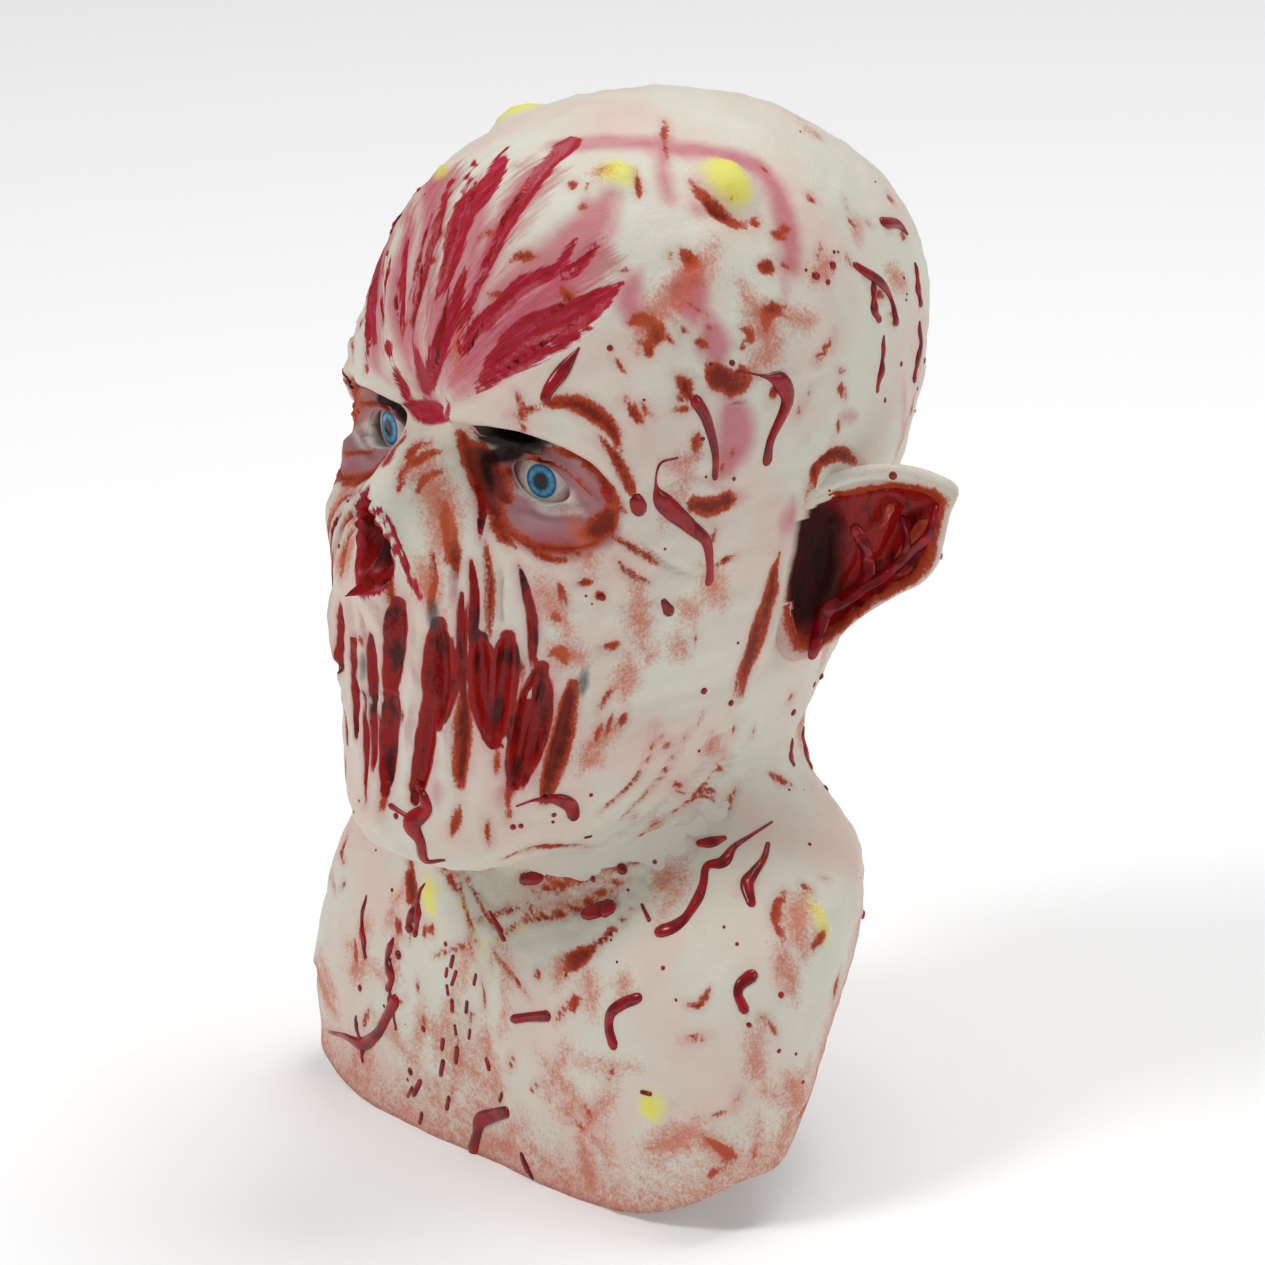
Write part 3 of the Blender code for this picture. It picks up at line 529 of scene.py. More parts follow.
def blend_sections(places):
    """Section values at each place, running smoothly through the table."""
    table = np.array([row[:-1] for row in SECTIONS])
    change = np.diff(table, axis=0)
    before, after = change[:-1], change[1:]
    same_way = before * after > 0
    total = np.where(same_way, before + after, 1.0)
    slope = np.zeros_like(table)
    slope[1:-1] = np.where(same_way, 2.0 * before * after / total, 0.0)
    slope[0], slope[-1] = change[0], change[-1]
    index = np.clip(np.floor(places).astype(int), 0, len(table) - 2)
    u = (places - index)[:, None]
    return ((2 * u**3 - 3 * u**2 + 1) * table[index] + (u**3 - 2 * u**2 + u) * slope[index]
            + (3 * u**2 - 2 * u**3) * table[index + 1] + (u**3 - u**2) * slope[index + 1])


def base_form(angles, places):
    """Points of the plain head, neck and flap: one row of points for each place."""
    columns = [value[:, None] for value in blend_sections(places).T]
    front_z, side_z, back_z, widest, half_width, front_y, back_y, front_sq, back_sq = columns
    around = np.degrees(np.abs((angles + math.pi) % (2 * math.pi) - math.pi))
    to_side = ease((around - 15) / 75)
    to_back = ease((around - 90) / 30)
    z = -(front_z + (side_z - front_z) * to_side + (back_z - side_z) * to_back) * HEAD_HEIGHT
    s, c = np.sin(angles), np.cos(angles)
    square = np.where(c > 0, front_sq, back_sq)
    reach = np.where(c > 0, widest - front_y, back_y - widest)
    x = half_width * np.sign(s) * np.abs(s) ** (2 / square) * HEAD_WIDTH
    y = (widest - reach * np.sign(c) * np.abs(c) ** (2 / square)) * HEAD_LENGTH
    return np.stack(np.broadcast_arrays(x, y, z), axis=-1)


def outward(points):
    """Unit directions out of a closed band of points."""
    around = np.roll(points, -1, axis=1) - np.roll(points, 1, axis=1)
    down = np.gradient(points, axis=0)
    out = np.cross(around, down)
    out /= np.linalg.norm(out, axis=2, keepdims=True) + 1e-12
    centre = np.array([0.0, -0.02, 0.0])
    sign = np.sign(np.sum(out * (points - centre) * [1, 1, 0], axis=2))[..., None]
    return out * np.median(np.where(sign == 0, 1.0, sign))


def facing(points):
    """How far each point belongs to the face side, from 0 to 1."""
    return ease((HEAD_LENGTH * 0.02 - points[..., 1]) / (HEAD_LENGTH * 0.15))


def swellings(points):
    """Height of the swellings and the nasal cavity over the plain form."""
    x, z = np.abs(points[..., 0]), points[..., 2]
    height = np.zeros_like(x)
    for row in SWELLINGS:
        across = (x - row[0] * HEAD_WIDTH) / (row[2] * HEAD_WIDTH)
        along = (z - row[1] * HEAD_HEIGHT) / (row[3] * HEAD_HEIGHT)
        height += row[4] * np.exp(-across**2 - along**2)
    reach = cavity_reach(points)
    height -= CAVITY_DEPTH * ease((1.12 - reach) / 0.55)
    septum = np.exp(-(x / 0.0022) ** 2) * ease((CAVITY_Z - z) / 0.012)
    height += 0.008 * septum * (reach < 1.05)
    return height * facing(points)


def lids(points):
    """Swell the points over each eye ball to make the lids."""
    swollen = points.copy()
    radius = EYE_RADIUS + GAP + LID_THICKNESS
    across = np.abs(points[..., 0]) - EYE_X + EYE_RADIUS * math.sin(EYE_TURN)
    along = points[..., 2] - EYE_Z
    inside = np.clip(radius**2 - across**2 - along**2, 0.0, None)
    lid_y = EYE_Y + EYE_RADIUS * math.cos(EYE_TURN) - np.sqrt(inside)
    over = (inside > 0) & (points[..., 1] < 0)
    apart = points[..., 1] - lid_y
    swollen[..., 1] -= 0.5 * (apart + np.sqrt(apart**2 + LID_BLEND**2)) * over
    return swollen


def waves(points, size, seed, count=18):
    """Smooth random height, about -1 to 1, with bumps of roughly the given size."""
    draw = np.random.default_rng(seed)
    total = np.zeros(points.shape[:-1])
    for _ in range(count):
        way = draw.normal(size=3)
        way *= draw.uniform(0.6, 1.5) * 2 * math.pi / (size * 2 * np.linalg.norm(way))
        total += np.sin(points @ way + draw.uniform(0, 2 * math.pi))
    return total / math.sqrt(count)


# Placing by the photograph


def camera_axes():
    """Right, up and towards-camera directions of the photograph's view."""
    toward = Vector((math.sin(VIEW_AZIMUTH) * math.cos(VIEW_HEIGHT),
                     -math.cos(VIEW_AZIMUTH) * math.cos(VIEW_HEIGHT), math.sin(VIEW_HEIGHT)))
    right = Vector((math.cos(VIEW_AZIMUTH), math.sin(VIEW_AZIMUTH), 0.0))
    return right, toward.cross(right), toward


def sight(tree, pixel):
    """Point and outward direction where the view through a pixel meets the surface."""
    right, up, toward = camera_axes()
    eye = VIEW_TARGET + toward * VIEW_DISTANCE
    spot = (VIEW_TARGET + right * ((pixel[0] - PICTURE / 2) / PIXELS_PER_METRE)
            + up * ((PICTURE / 2 - pixel[1]) / PIXELS_PER_METRE))
    place, normal, _, _ = tree.ray_cast(eye, (spot - eye).normalized())
    return place, normal


def side_hit(tree, turn, z):
    """Where a level line towards the middle meets the outside, and the normal there."""
    middle = Vector((0, -0.02, z))
    start = middle + Vector((0.5 * math.sin(turn), -0.5 * math.cos(turn), 0))
    place, normal, _, _ = tree.ray_cast(start, (middle - start).normalized())
    if place is None or normal.dot(place - middle) < 0:
        return None, None
    return place, normal


def smooth_line(line, step):
    """Points along a smooth curve through a line's points, about a step apart."""
    line = [Vector(p) for p in line]
    if len(line) == 2:
        line.insert(1, (line[0] + line[1]) / 2)
    ends = [line[0] * 2 - line[1]] + line + [line[-1] * 2 - line[-2]]
    made = []
    for a, b, c, d in zip(ends, ends[1:], ends[2:], ends[3:]):
        count = max(1, round((c - b).length / step))
        for k in range(count):
            u = k / count
            made.append(0.5 * ((2 * b) + (c - a) * u + (2 * a - 5 * b + 4 * c - d) * u * u
                               + (3 * b - a - 3 * c + d) * u**3))
    made.append(line[-1])
    return made


def traced(tree, line, step=5.0):
    """A line of pixels laid on the surface, as an array of points."""
    found = [sight(tree, pixel)[0] for pixel in smooth_line(line, step)]
    return np.array([p for p in found if p is not None]).reshape(-1, 3)


def to_line(points, line):
    """Distance of each point to a line and the share of the line's length it is nearest to."""
    best = np.full(len(points), 1e9)
    share = np.zeros(len(points))
    spans = np.linalg.norm(np.diff(line, axis=0), axis=1)
    total = max(spans.sum(), 1e-9)
    run = 0.0
    for a, b, span in zip(line[:-1], line[1:], spans):
        t = np.clip((points - a) @ (b - a) / max(span**2, 1e-12), 0, 1)
        away = np.linalg.norm(points - a - t[:, None] * (b - a), axis=1)
        closer = away < best
        best[closer] = away[closer]
        share[closer] = (run + t[closer] * span) / total
        run += span
    return best, share


def taper(shape, share):
    """Width of a stroke along its length, from 0 to 1."""
    if shape == "lens":
        return np.sin(np.pi * np.clip(share, 0.02, 0.98)) ** 0.6
    if shape == "pod":
        return np.sin(np.pi * np.clip(share, 0.03, 0.97)) ** 0.3
    if shape == "tail":
        return np.clip(1.02 - share, 0.02, 1.0) ** 0.7
    if shape == "head":
        return np.clip(share + 0.02, 0.02, 1.0) ** 0.7
    return np.ones_like(share)


def stroke_reach(points, line, half_width, shape, margin):
    """Signed distance inside a stroke's edge, in metres, for the points near it."""
    if len(line) < 2:
        return np.zeros(0, int), np.zeros(0)
    low, high = line.min(axis=0) - half_width - margin, line.max(axis=0) + half_width + margin
    near = np.flatnonzero(np.all((points > low) & (points < high), axis=1))
    if not len(near):
        return near, np.zeros(0)
    away, share = to_line(points[near], line)
    return near, half_width * taper(shape, share) - away


# Meshes


def band_faces(rows, columns, first):
    """Faces of a closed band of points whose first point is number first."""
    i = np.arange(rows - 1)[:, None] * columns + first
    j = np.arange(columns)[None, :]
    k = (j + 1) % columns
    faces = np.stack([i + j, i + columns + j, i + columns + k, i + k], axis=-1)
    return faces.reshape(-1, 4).tolist()


def fan_faces(columns, first, pole):
    """Triangles from one loop of points to a pole."""
    return [(first + j, first + (j + 1) % columns, pole) for j in range(columns)]


def mesh_object(name, points, faces, smooth=True):
    """Make an object from points and faces, its faces turned outwards."""
    mesh = bpy.data.meshes.new(name)
    mesh.from_pydata([tuple(p) for p in points], [], faces)
    form = bmesh.new()
    form.from_mesh(mesh)
    bmesh.ops.recalc_face_normals(form, faces=form.faces)
    form.to_mesh(mesh)
    form.free()
    if smooth:
        mesh.polygons.foreach_set("use_smooth", [True] * len(mesh.polygons))
    made = bpy.data.objects.new(name, mesh)
    bpy.context.scene.collection.objects.link(made)
    return made


def combine(target, others, operation):
    """Apply exact booleans of the others to target, and clear the others away."""
    for other in others:
        step = target.modifiers.new("cut", "BOOLEAN")
        step.operation = operation
        step.solver = "EXACT"
        step.object = other
        graph = bpy.context.evaluated_depsgraph_get()
        mesh = bpy.data.meshes.new_from_object(target.evaluated_get(graph))
        target.modifiers.remove(step)
        target.data = mesh
        bpy.data.objects.remove(other, do_unlink=True)


def mesh_points(mesh):
    """Points of a mesh as an array."""
    flat = np.empty(len(mesh.vertices) * 3)
    mesh.vertices.foreach_get("co", flat)
    return flat.reshape(-1, 3)


def surface_tree(points, faces):
    """Search tree of a surface."""
    return BVHTree.FromPolygons([tuple(p) for p in points], faces)


def store(mesh, name, values):
    """Keep a number for each point of a mesh, for its material to read."""
    made = mesh.attributes.new(name, "FLOAT", "POINT")
    made.data.foreach_set("value", np.asarray(values, dtype=np.float32))


def eye_frame(side):
    """Middle of the iris and the outward, sideways and upward directions of an eye."""
    middle = np.array([side * EYE_X, EYE_Y, EYE_Z])
    out = np.array([side * math.sin(EYE_TURN), -math.cos(EYE_TURN), 0.0])
    across = np.array([side * math.cos(EYE_TURN), math.sin(EYE_TURN), 0.0])
    return middle, out, across, np.array([0.0, 0.0, 1.0])


def eye_dome(name, side, grow, tail, rings, count):
    """A shallow cap of the eye ball, grown by grow and run on backwards by tail."""
    middle, out, across, up = eye_frame(side)
    radius = EYE_RADIUS + grow
    widest = math.asin(EYE_REACH / EYE_RADIUS)
    loops = [(radius * math.sin(widest * k / rings), radius * math.cos(widest * k / rings))
             for k in range(1, rings + 1)]
    loops.append((loops[-1][0], loops[-1][1] - tail))
    ball = middle - EYE_RADIUS * out
    points = [ball + radius * out]
    for reach, ahead in loops:
        for j in range(count):
            turn = 2 * math.pi * j / count
            spoke = math.cos(turn) * across + math.sin(turn) * up
            points.append(ball + ahead * out + reach * spoke)
    faces = fan_faces(count, 1, 0) + band_faces(len(loops), count, 1)
    faces.append([1 + (len(loops) - 1) * count + j for j in range(count)])
    return mesh_object(name, points, faces)


def oval_bar(name, middle, axes, width, height, tilt, point=1.0):
    """A cutter with an oval section, running both ways along the first of its axes."""
    run, across, up = axes
    count = 48
    points = []
    for way in (0.020, -0.012):
        for j in range(count):
            turn = 2 * math.pi * j / count
            a = width / 2 * math.cos(turn)
            b = height / 2 * math.copysign(abs(math.sin(turn)) ** point, math.sin(turn))
            points.append(middle + way * run
                          + (a * math.cos(tilt) - b * math.sin(tilt)) * across
                          + (a * math.sin(tilt) + b * math.cos(tilt)) * up)
    faces = band_faces(2, count, 0)
    faces.append(list(range(count)))
    faces.append(list(range(2 * count - 1, count - 1, -1)))
    return mesh_object(name, points, faces)


def segment_reach(spots, start, end):
    """Distance of flat spots from a straight line between two of them."""
    start, end = np.array(start), np.array(end)
    along = np.clip((spots - start) @ (end - start) / np.sum((end - start) ** 2), 0, 1)
    return np.linalg.norm(spots - start - along[:, None] * (end - start), axis=1)


def ear_points(rings, turns):
    """Smooth loops of one ear, for the wearer's left."""
    back = np.array([math.cos(EAR_ANGLE), math.sin(EAR_ANGLE), 0.0])
    out = np.array([math.sin(EAR_ANGLE), -math.cos(EAR_ANGLE), 0.0])
    up = np.array([0.0, 0.0, 1.0])
    centre = np.array(EAR_CENTRE)
    outline = np.array(EAR_OUTLINE)
    count = len(outline)
    place = np.arange(turns) * count / turns
    index = np.floor(place).astype(int)
    u = (place - index)[:, None]
    a, b, c, d = (outline[(index + k) % count] for k in (-1, 0, 1, 2))
    edge = 0.5 * (2 * b + (c - a) * u + (2 * a - 5 * b + 4 * c - d) * u**2
                  + (3 * b - a - 3 * c + d) * u**3)
    loops = [(loop[0], loop[1], 0.0) for loop in EAR_LOOPS]
    loops = [tuple(p)[:2] for p in smooth_line([Vector(p) for p in loops], 0.6 / rings)]
    deepest = [size for size, _ in loops].index(max(size for size, _ in loops))
    points = []
    for number, (size, lift) in enumerate(loops):
        spots = centre + size * (edge - centre)
        lifts = np.full(len(spots), lift)
        if number > deepest:
            for fold in EAR_FOLDS:
                lifts += EAR_FOLD_HEIGHT * ease(1.0 - segment_reach(spots, *fold) / EAR_FOLD_REACH)
        points += [np.array(EAR_ROOT) + EAR_LENGTH * (spot[0] * back + spot[1] * up + rise * out)
                   for spot, rise in zip(spots, lifts)]
    for lift in (loops[0][1], loops[-1][1]):
        points.append(np.array(EAR_ROOT)
                      + EAR_LENGTH * (centre[0] * back + centre[1] * up + lift * out))
    return np.array(points), len(loops)


def make_ear(side, rings=30, turns=96):
    """One cupped, pointed ear as a closed form."""
    points, loops = ear_points(rings, turns)
    pole = loops * turns
    faces = band_faces(loops, turns, 0) + fan_faces(turns, 0, pole)
    faces += fan_faces(turns, (loops - 1) * turns, pole + 1)
    return mesh_object("ear_form", points * [side, 1, 1], faces)


def skin_form(face_columns, back_columns, fineness):
    """Smooth outer surface of the casting, with its outward directions."""
    plain = base_form(column_angles(face_columns, back_columns), row_places(fineness))
    out = outward(plain)
    forward = 0.85 * facing(plain)[..., None]
    along = out * (1 - forward) + np.array([0.0, -1.0, 0.0]) * forward
    smooth = lids(plain + along * swellings(plain)[..., None])
    return plain, along, out, smooth


def all_marks(tree):
    """Every mark with its path on the surface: the table's, their mirror images and strays."""
    marks = []
    for layer, shape, half_width, depth, both, line in MARKS:
        path = traced(tree, line)
        for side in (1, -1) if both else (1,):
            marks.append((layer, shape, half_width, depth, path * [side, 1, 1]))
    draw = random.Random(11)
    for layer, shape, count, lengths, widths, depth, low, high, spread in STRAYS:
        for _ in range(count):
            turn = draw.uniform(0, 2 * math.pi)
            z = draw.uniform(low, high) * HEAD_HEIGHT
            place, _ = side_hit(tree, turn, z)
            lean = math.radians(draw.uniform(-spread, spread))
            length = draw.uniform(*lengths) / 1000
            width = draw.uniform(*widths)
            if place is None:
                continue
            side = Vector((math.cos(turn), math.sin(turn), 0))
            step = side * (math.sin(lean) * length / 4) + Vector((0, 0, math.cos(lean) * length / 4))
            path = [tree.find_nearest(place + step * k)[0] for k in range(-2, 3)]
            marks.append((layer, shape, width, depth, np.array(path)))
    return marks


def cavity_reach(points):
    """Distance from the middle of the nasal cavity as a share of the way to its rim."""
    below = (points[..., 2] - CAVITY_Z) / CAVITY_HALF_HEIGHT
    narrowing = CAVITY_HALF_WIDTH * (0.70 - 0.40 * np.clip(below, -1, 1))
    reach = np.sqrt((points[..., 0] / narrowing) ** 2 + below**2)
    return np.where(points[..., 1] < 0, reach, 9.0)


def carve(smooth, out, marks, tree):
    """Cut the strands and wrinkles of the table into the smooth surface."""
    points = smooth.reshape(-1, 3)
    height = np.zeros(len(points))
    raised = np.zeros(len(points))
    for _, shape, half_width, depth, line in marks:
        if not depth:
            continue
        near, reach = stroke_reach(points, line, half_width / 1000, shape, 0)
        share = np.clip(reach / (half_width / 1000), 0, 1)
        cut = -depth / 1000 * ease(share)
        height[near] = np.minimum(height[near], cut)
        raised[near] = np.maximum(raised[near], cut)
    for radius, lift, both, pixel in BLISTERS:
        middle = sight(tree, pixel)[0]
        if middle is not None:
            for side in (1, -1) if both else (1,):
                away = np.linalg.norm(points - np.array(middle) * [side, 1, 1], axis=1)
                share = 1.0 - away / (radius / 1000 * 1.15)
                raised = np.maximum(raised, lift / 1000 * np.sqrt(ease(share)))
    height += raised
    height += 0.0005 * waves(points, 0.016, 3) + 0.00025 * waves(points, 0.005, 4)
    return (points + out.reshape(-1, 3) * height[:, None]).reshape(smooth.shape)


def inner_form(plain, along, out, outer, row_step):
    """Inside of the casting: the lowest of the outside nearby, one wall further in."""
    height = np.sum((outer - plain) * along, axis=2) / np.sum(along * along, axis=2)
    low = height.copy()
    for _ in range(4):
        low = np.minimum(low, np.minimum(np.roll(low, 1, axis=1), np.roll(low, -1, axis=1)))
        low[1:-1] = np.minimum(low[1:-1], np.minimum(low[:-2], low[2:]))
    for _ in range(6):
        low = (np.roll(low, 1, axis=1) + 2 * low + np.roll(low, -1, axis=1)) / 4
        low[1:-1] = (low[:-2] + 2 * low[1:-1] + low[2:]) / 4
    inner = plain + along * low[..., None] - out * WALL
    keep = [k for k in range(len(plain)) if k % row_step == 0 or k == len(plain) - 1]
    return inner[keep]


def cast_skin(fine):
    """Cast the whole skin: shell, ears and openings. Returns it with what its paint needs."""
    plain, along, out, smooth = skin_form(70 * fine, 64 * fine, 2 * fine + 1)
    rows, columns = smooth.shape[:2]
    tree = surface_tree(smooth.reshape(-1, 3), band_faces(rows, columns, 0))
    marks = all_marks(tree)
    outer = carve(smooth, outward(smooth), marks, tree)
    inner = inner_form(plain, along, out, outer, 4 * fine)
    second = rows * columns
    points = np.concatenate([outer.reshape(-1, 3), inner.reshape(-1, 3),
                             [(0.0, 0.0, WALL), (0.0, 0.0, 0.0)]])
    pole = len(points) - 2
    faces = band_faces(rows, columns, 0) + band_faces(inner.shape[0], columns, second)
    faces += fan_faces(columns, 0, pole) + fan_faces(columns, second, pole + 1)
    edge, inner_edge = (rows - 1) * columns, second + (inner.shape[0] - 1) * columns
    for j in range(columns):
        k = (j + 1) % columns
        faces.append((edge + j, edge + k, inner_edge + k, inner_edge + j))
    skin = mesh_object("painted_skin", points, faces)

    low = inner[-1].mean(axis=0)
    hollow_points = inner + out[[k for k in range(rows) if k % (4 * fine) == 0 or k == rows - 1]] \
        * (WALL / 2)
    flat = np.concatenate([hollow_points.reshape(-1, 3), [(0.0, 0.0, WALL / 2), low]])
    hollow_faces = band_faces(inner.shape[0], columns, 0)
    hollow_faces += fan_faces(columns, 0, len(flat) - 2)
    hollow_faces += fan_faces(columns, (inner.shape[0] - 1) * columns, len(flat) - 1)
    for side in (1, -1):
        ear = make_ear(side)
        combine(ear, [mesh_object("hollow", flat, hollow_faces)], "DIFFERENCE")
        combine(skin, [ear], "UNION")
    for side in (1, -1):
        middle, ahead, across, up = eye_frame(side)
        hole = np.array([side * HOLE_X, HOLE_Y, HOLE_Z])
        combine(skin, [
            eye_dome("eye_seat", side, GAP, 0.010, 8, 48),
            oval_bar("lid_gap", middle, (ahead, across, up), LID_WIDTH, LID_HEIGHT, -LID_TILT,
                     1.25),
            oval_bar("vision_hole", hole,
                     (np.array([0.0, -1.0, 0.0]), np.array([side, 0.0, 0.0]), up),
                     HOLE_WIDTH, HOLE_HEIGHT, HOLE_TILT),
        ], "DIFFERENCE")
    skin.data.polygons.foreach_set("use_smooth", [True] * len(skin.data.polygons))
    return skin, marks, smooth, outer


# Materials


class Recipe:
    """Short way to lay out a material's nodes."""

    def __init__(self, name):
        self.material = bpy.data.materials.new(name)
        self.material.use_nodes = True
        self.tree = self.material.node_tree
        self.shader = self.tree.nodes["Principled BSDF"]
        self.place = self.node("ShaderNodeTexCoord").outputs["Object"]

    def node(self, kind, **settings):
        made = self.tree.nodes.new(kind)
        for key, value in settings.items():
            setattr(made, key, value)
        return made

    def join(self, value, socket):
        if isinstance(value, bpy.types.NodeSocket):
            self.tree.links.new(value, socket)
        elif hasattr(value, "__len__") and len(value) == 3 and socket.type == "RGBA":
            socket.default_value = (*value, 1.0)
        else:
            socket.default_value = value

    def field(self, name):
        return self.node("ShaderNodeAttribute", attribute_name=name).outputs["Fac"]

    def noise(self, size, detail=4.0, rough=0.5, shift=(0, 0, 0), stretch=(1, 1, 1)):
        """Noise with bumps of about the given size in metres, from about -0.5 to 0.5."""
        mapping = self.node("ShaderNodeMapping")
        self.join(self.place, mapping.inputs["Vector"])
        mapping.inputs["Location"].default_value = shift
        mapping.inputs["Scale"].default_value = stretch
        made = self.node("ShaderNodeTexNoise")
        self.join(mapping.outputs[0], made.inputs["Vector"])
        made.inputs["Scale"].default_value = 0.7 / size
        made.inputs["Detail"].default_value = detail
        made.inputs["Roughness"].default_value = rough
        return self.sum(made.outputs["Fac"], "SUBTRACT", 0.5)

    def sum(self, a, operation, b=0.0, c=None):
        made = self.node("ShaderNodeMath", operation=operation)
        self.join(a, made.inputs[0])
        self.join(b, made.inputs[1])
        if c is not None:
            self.join(c, made.inputs[2])
        return made.outputs[0]

    def step(self, value, low, high, least=0.0, most=1.0):
        """Rise smoothly from least to most as value goes from low to high."""
        made = self.node("ShaderNodeMapRange", interpolation_type="SMOOTHSTEP")
        for socket, given in zip(made.inputs, (value, low, high, least, most)):
            self.join(given, socket)
        return made.outputs[0]

    def mix(self, share, a, b):
        made = self.node("ShaderNodeMix", data_type="RGBA")
        self.join(share, made.inputs[0])
        self.join(a, made.inputs[6])
        self.join(b, made.inputs[7])
        return made.outputs[2]

    def coat(self, ground, colour, share):
        """Lay a colour over the ground."""
        return self.mix(share, ground, colour)

    def bump(self, height, strength, distance):
        made = self.node("ShaderNodeBump")
        made.inputs["Strength"].default_value = strength
        made.inputs["Distance"].default_value = distance
        self.join(height, made.inputs["Height"])
        return made.outputs[0]


def colour_of(name):
    """A colour from the panel."""
    return tuple(getattr(bpy.context.scene.zombie_mask_paint, name))


def skin_paint():
    """Cream latex, airbrushed, dry-brushed and bloodied by the fields kept on the skin."""
    r = Recipe("painted_latex")
    broad = r.noise(0.030, 3.0)
    fine = r.noise(0.0022, 5.0, 0.65)
    middle = r.noise(0.008, 4.0, 0.6, (3, 1, 2))
    grit = r.noise(0.0008, 3.0, 0.7, (9, 4, 3))
    streaky = r.noise(0.0030, 4.0, 0.6, (5, 2, 7), (1.0, 1.0, 0.25))
    spread = r.node("ShaderNodeTexNoise")
    r.join(r.node("ShaderNodeAttribute", attribute_name="fan").outputs["Vector"],
           spread.inputs["Vector"])
    spread.inputs["Scale"].default_value = 1.2
    spread.inputs["Detail"].default_value = 5.0
    spread.inputs["Roughness"].default_value = 0.65
    rays = r.sum(spread.outputs["Fac"], "SUBTRACT", 0.5)
    latex, rust = colour_of("latex"), colour_of("rust")
    colour = r.mix(r.step(broad, -0.15, 0.2), latex, colour_of("warm_latex"))
    raw = r.sum(r.field("raw"), "ADD", r.sum(rays, "MULTIPLY", 22.0))
    colour = r.coat(colour, colour_of("flesh"), r.step(raw, 0.5, 8.5, 0.0, 0.66))
    blush = r.sum(r.field("blush"), "ADD", r.sum(middle, "MULTIPLY", 4.0))
    colour = r.coat(colour, colour_of("blush"), r.step(blush, -3.0, 5.0, 0.0, 0.72))
    bruise = r.sum(r.field("bruise"), "ADD", r.sum(fine, "MULTIPLY", 3.0))
    colour = r.coat(colour, colour_of("bruise"), r.step(bruise, -2.0, 3.0, 0.0, 0.8))
    yolk = r.sum(r.field("yolk"), "ADD", r.sum(fine, "MULTIPLY", 6.0))
    colour = r.coat(colour, colour_of("yolk"), r.step(yolk, -3.0, 3.6, 0.0, 0.86))
    halo = r.sum(r.field("stain"), "ADD", r.sum(middle, "MULTIPLY", 5.0))
    colour = r.coat(colour, rust, r.step(halo, -3.5, 1.0, 0.0, 0.24))
    stain = r.sum(r.field("stain"), "ADD", r.sum(streaky, "MULTIPLY", 3.6))
    stain = r.sum(stain, "ADD", r.sum(grit, "MULTIPLY", 2.6))
    core = r.step(r.sum(stain, "ADD", r.sum(fine, "MULTIPLY", 5.0)), 0.6, 2.6)
    stain = r.step(stain, -0.6, 0.7)
    brown = r.mix(core, rust, colour_of("dark_rust"))
    colour = r.coat(colour, brown, stain)
    rust_patch = r.sum(r.field("rust"), "ADD", r.sum(fine, "MULTIPLY", 9.0))
    rust_patch = r.sum(rust_patch, "ADD", r.sum(grit, "MULTIPLY", 14.0))
    colour = r.coat(colour, colour_of("salmon"), r.step(rust_patch, -3.5, 6.0, 0.0, 0.80))
    flesh = r.sum(r.field("flesh"), "ADD", r.sum(rays, "MULTIPLY", 6.0))
    flesh = r.step(flesh, -0.3, 0.5)
    raw = r.mix(r.step(rays, -0.02, 0.16), colour_of("flesh"), colour_of("gore"))
    raw = r.mix(r.step(rays, -0.06, -0.16), raw, colour_of("blush"))
    colour = r.coat(colour, raw, flesh)
    gore = r.sum(r.field("gore"), "ADD", r.sum(streaky, "MULTIPLY", 1.6))
    gore = r.step(gore, -0.3, 0.4)
    deep = r.sum(streaky, "ADD", r.sum(middle, "MULTIPLY", 0.8))
    deep = r.mix(r.step(deep, -0.02, 0.20), colour_of("gore"), colour_of("dark_gore"))
    colour = r.coat(colour, deep, gore)
    # near-black streaks among the strands of the mouth
    soot = r.sum(r.field("soot"), "ADD", r.sum(fine, "MULTIPLY", 2.0))
    colour = r.coat(colour, (0.04, 0.05, 0.05), r.step(soot, -1.5, 1.5, 0.0, 0.8))
    # near-black painted shade in the hollows, openings and ear depths
    shade = r.field("shade")
    colour = r.coat(colour, (0.012, 0.004, 0.003), r.step(shade, 0.0, 1.0, 0.0, 0.95))
    r.join(colour, r.shader.inputs["Base Color"])
    wet = r.sum(gore, "MAXIMUM", r.sum(flesh, "MULTIPLY", 0.6))
    rough = r.step(r.sum(wet, "ADD", r.sum(fine, "MULTIPLY", 0.3)), 0.0, 1.0, 0.50, 0.22)
    rough = r.sum(rough, "MAXIMUM", shade)
    r.join(rough, r.shader.inputs["Roughness"])
    pores = r.sum(r.noise(0.0009, 3.0, 0.6, (8, 8, 1)), "ADD", r.sum(fine, "MULTIPLY", 1.2))
    r.join(r.bump(pores, 0.35, 0.0006), r.shader.inputs["Normal"])
    r.shader.inputs["Subsurface Weight"].default_value = 0.0
    r.shader.inputs["Specular IOR Level"].default_value = 0.22
    return r.material


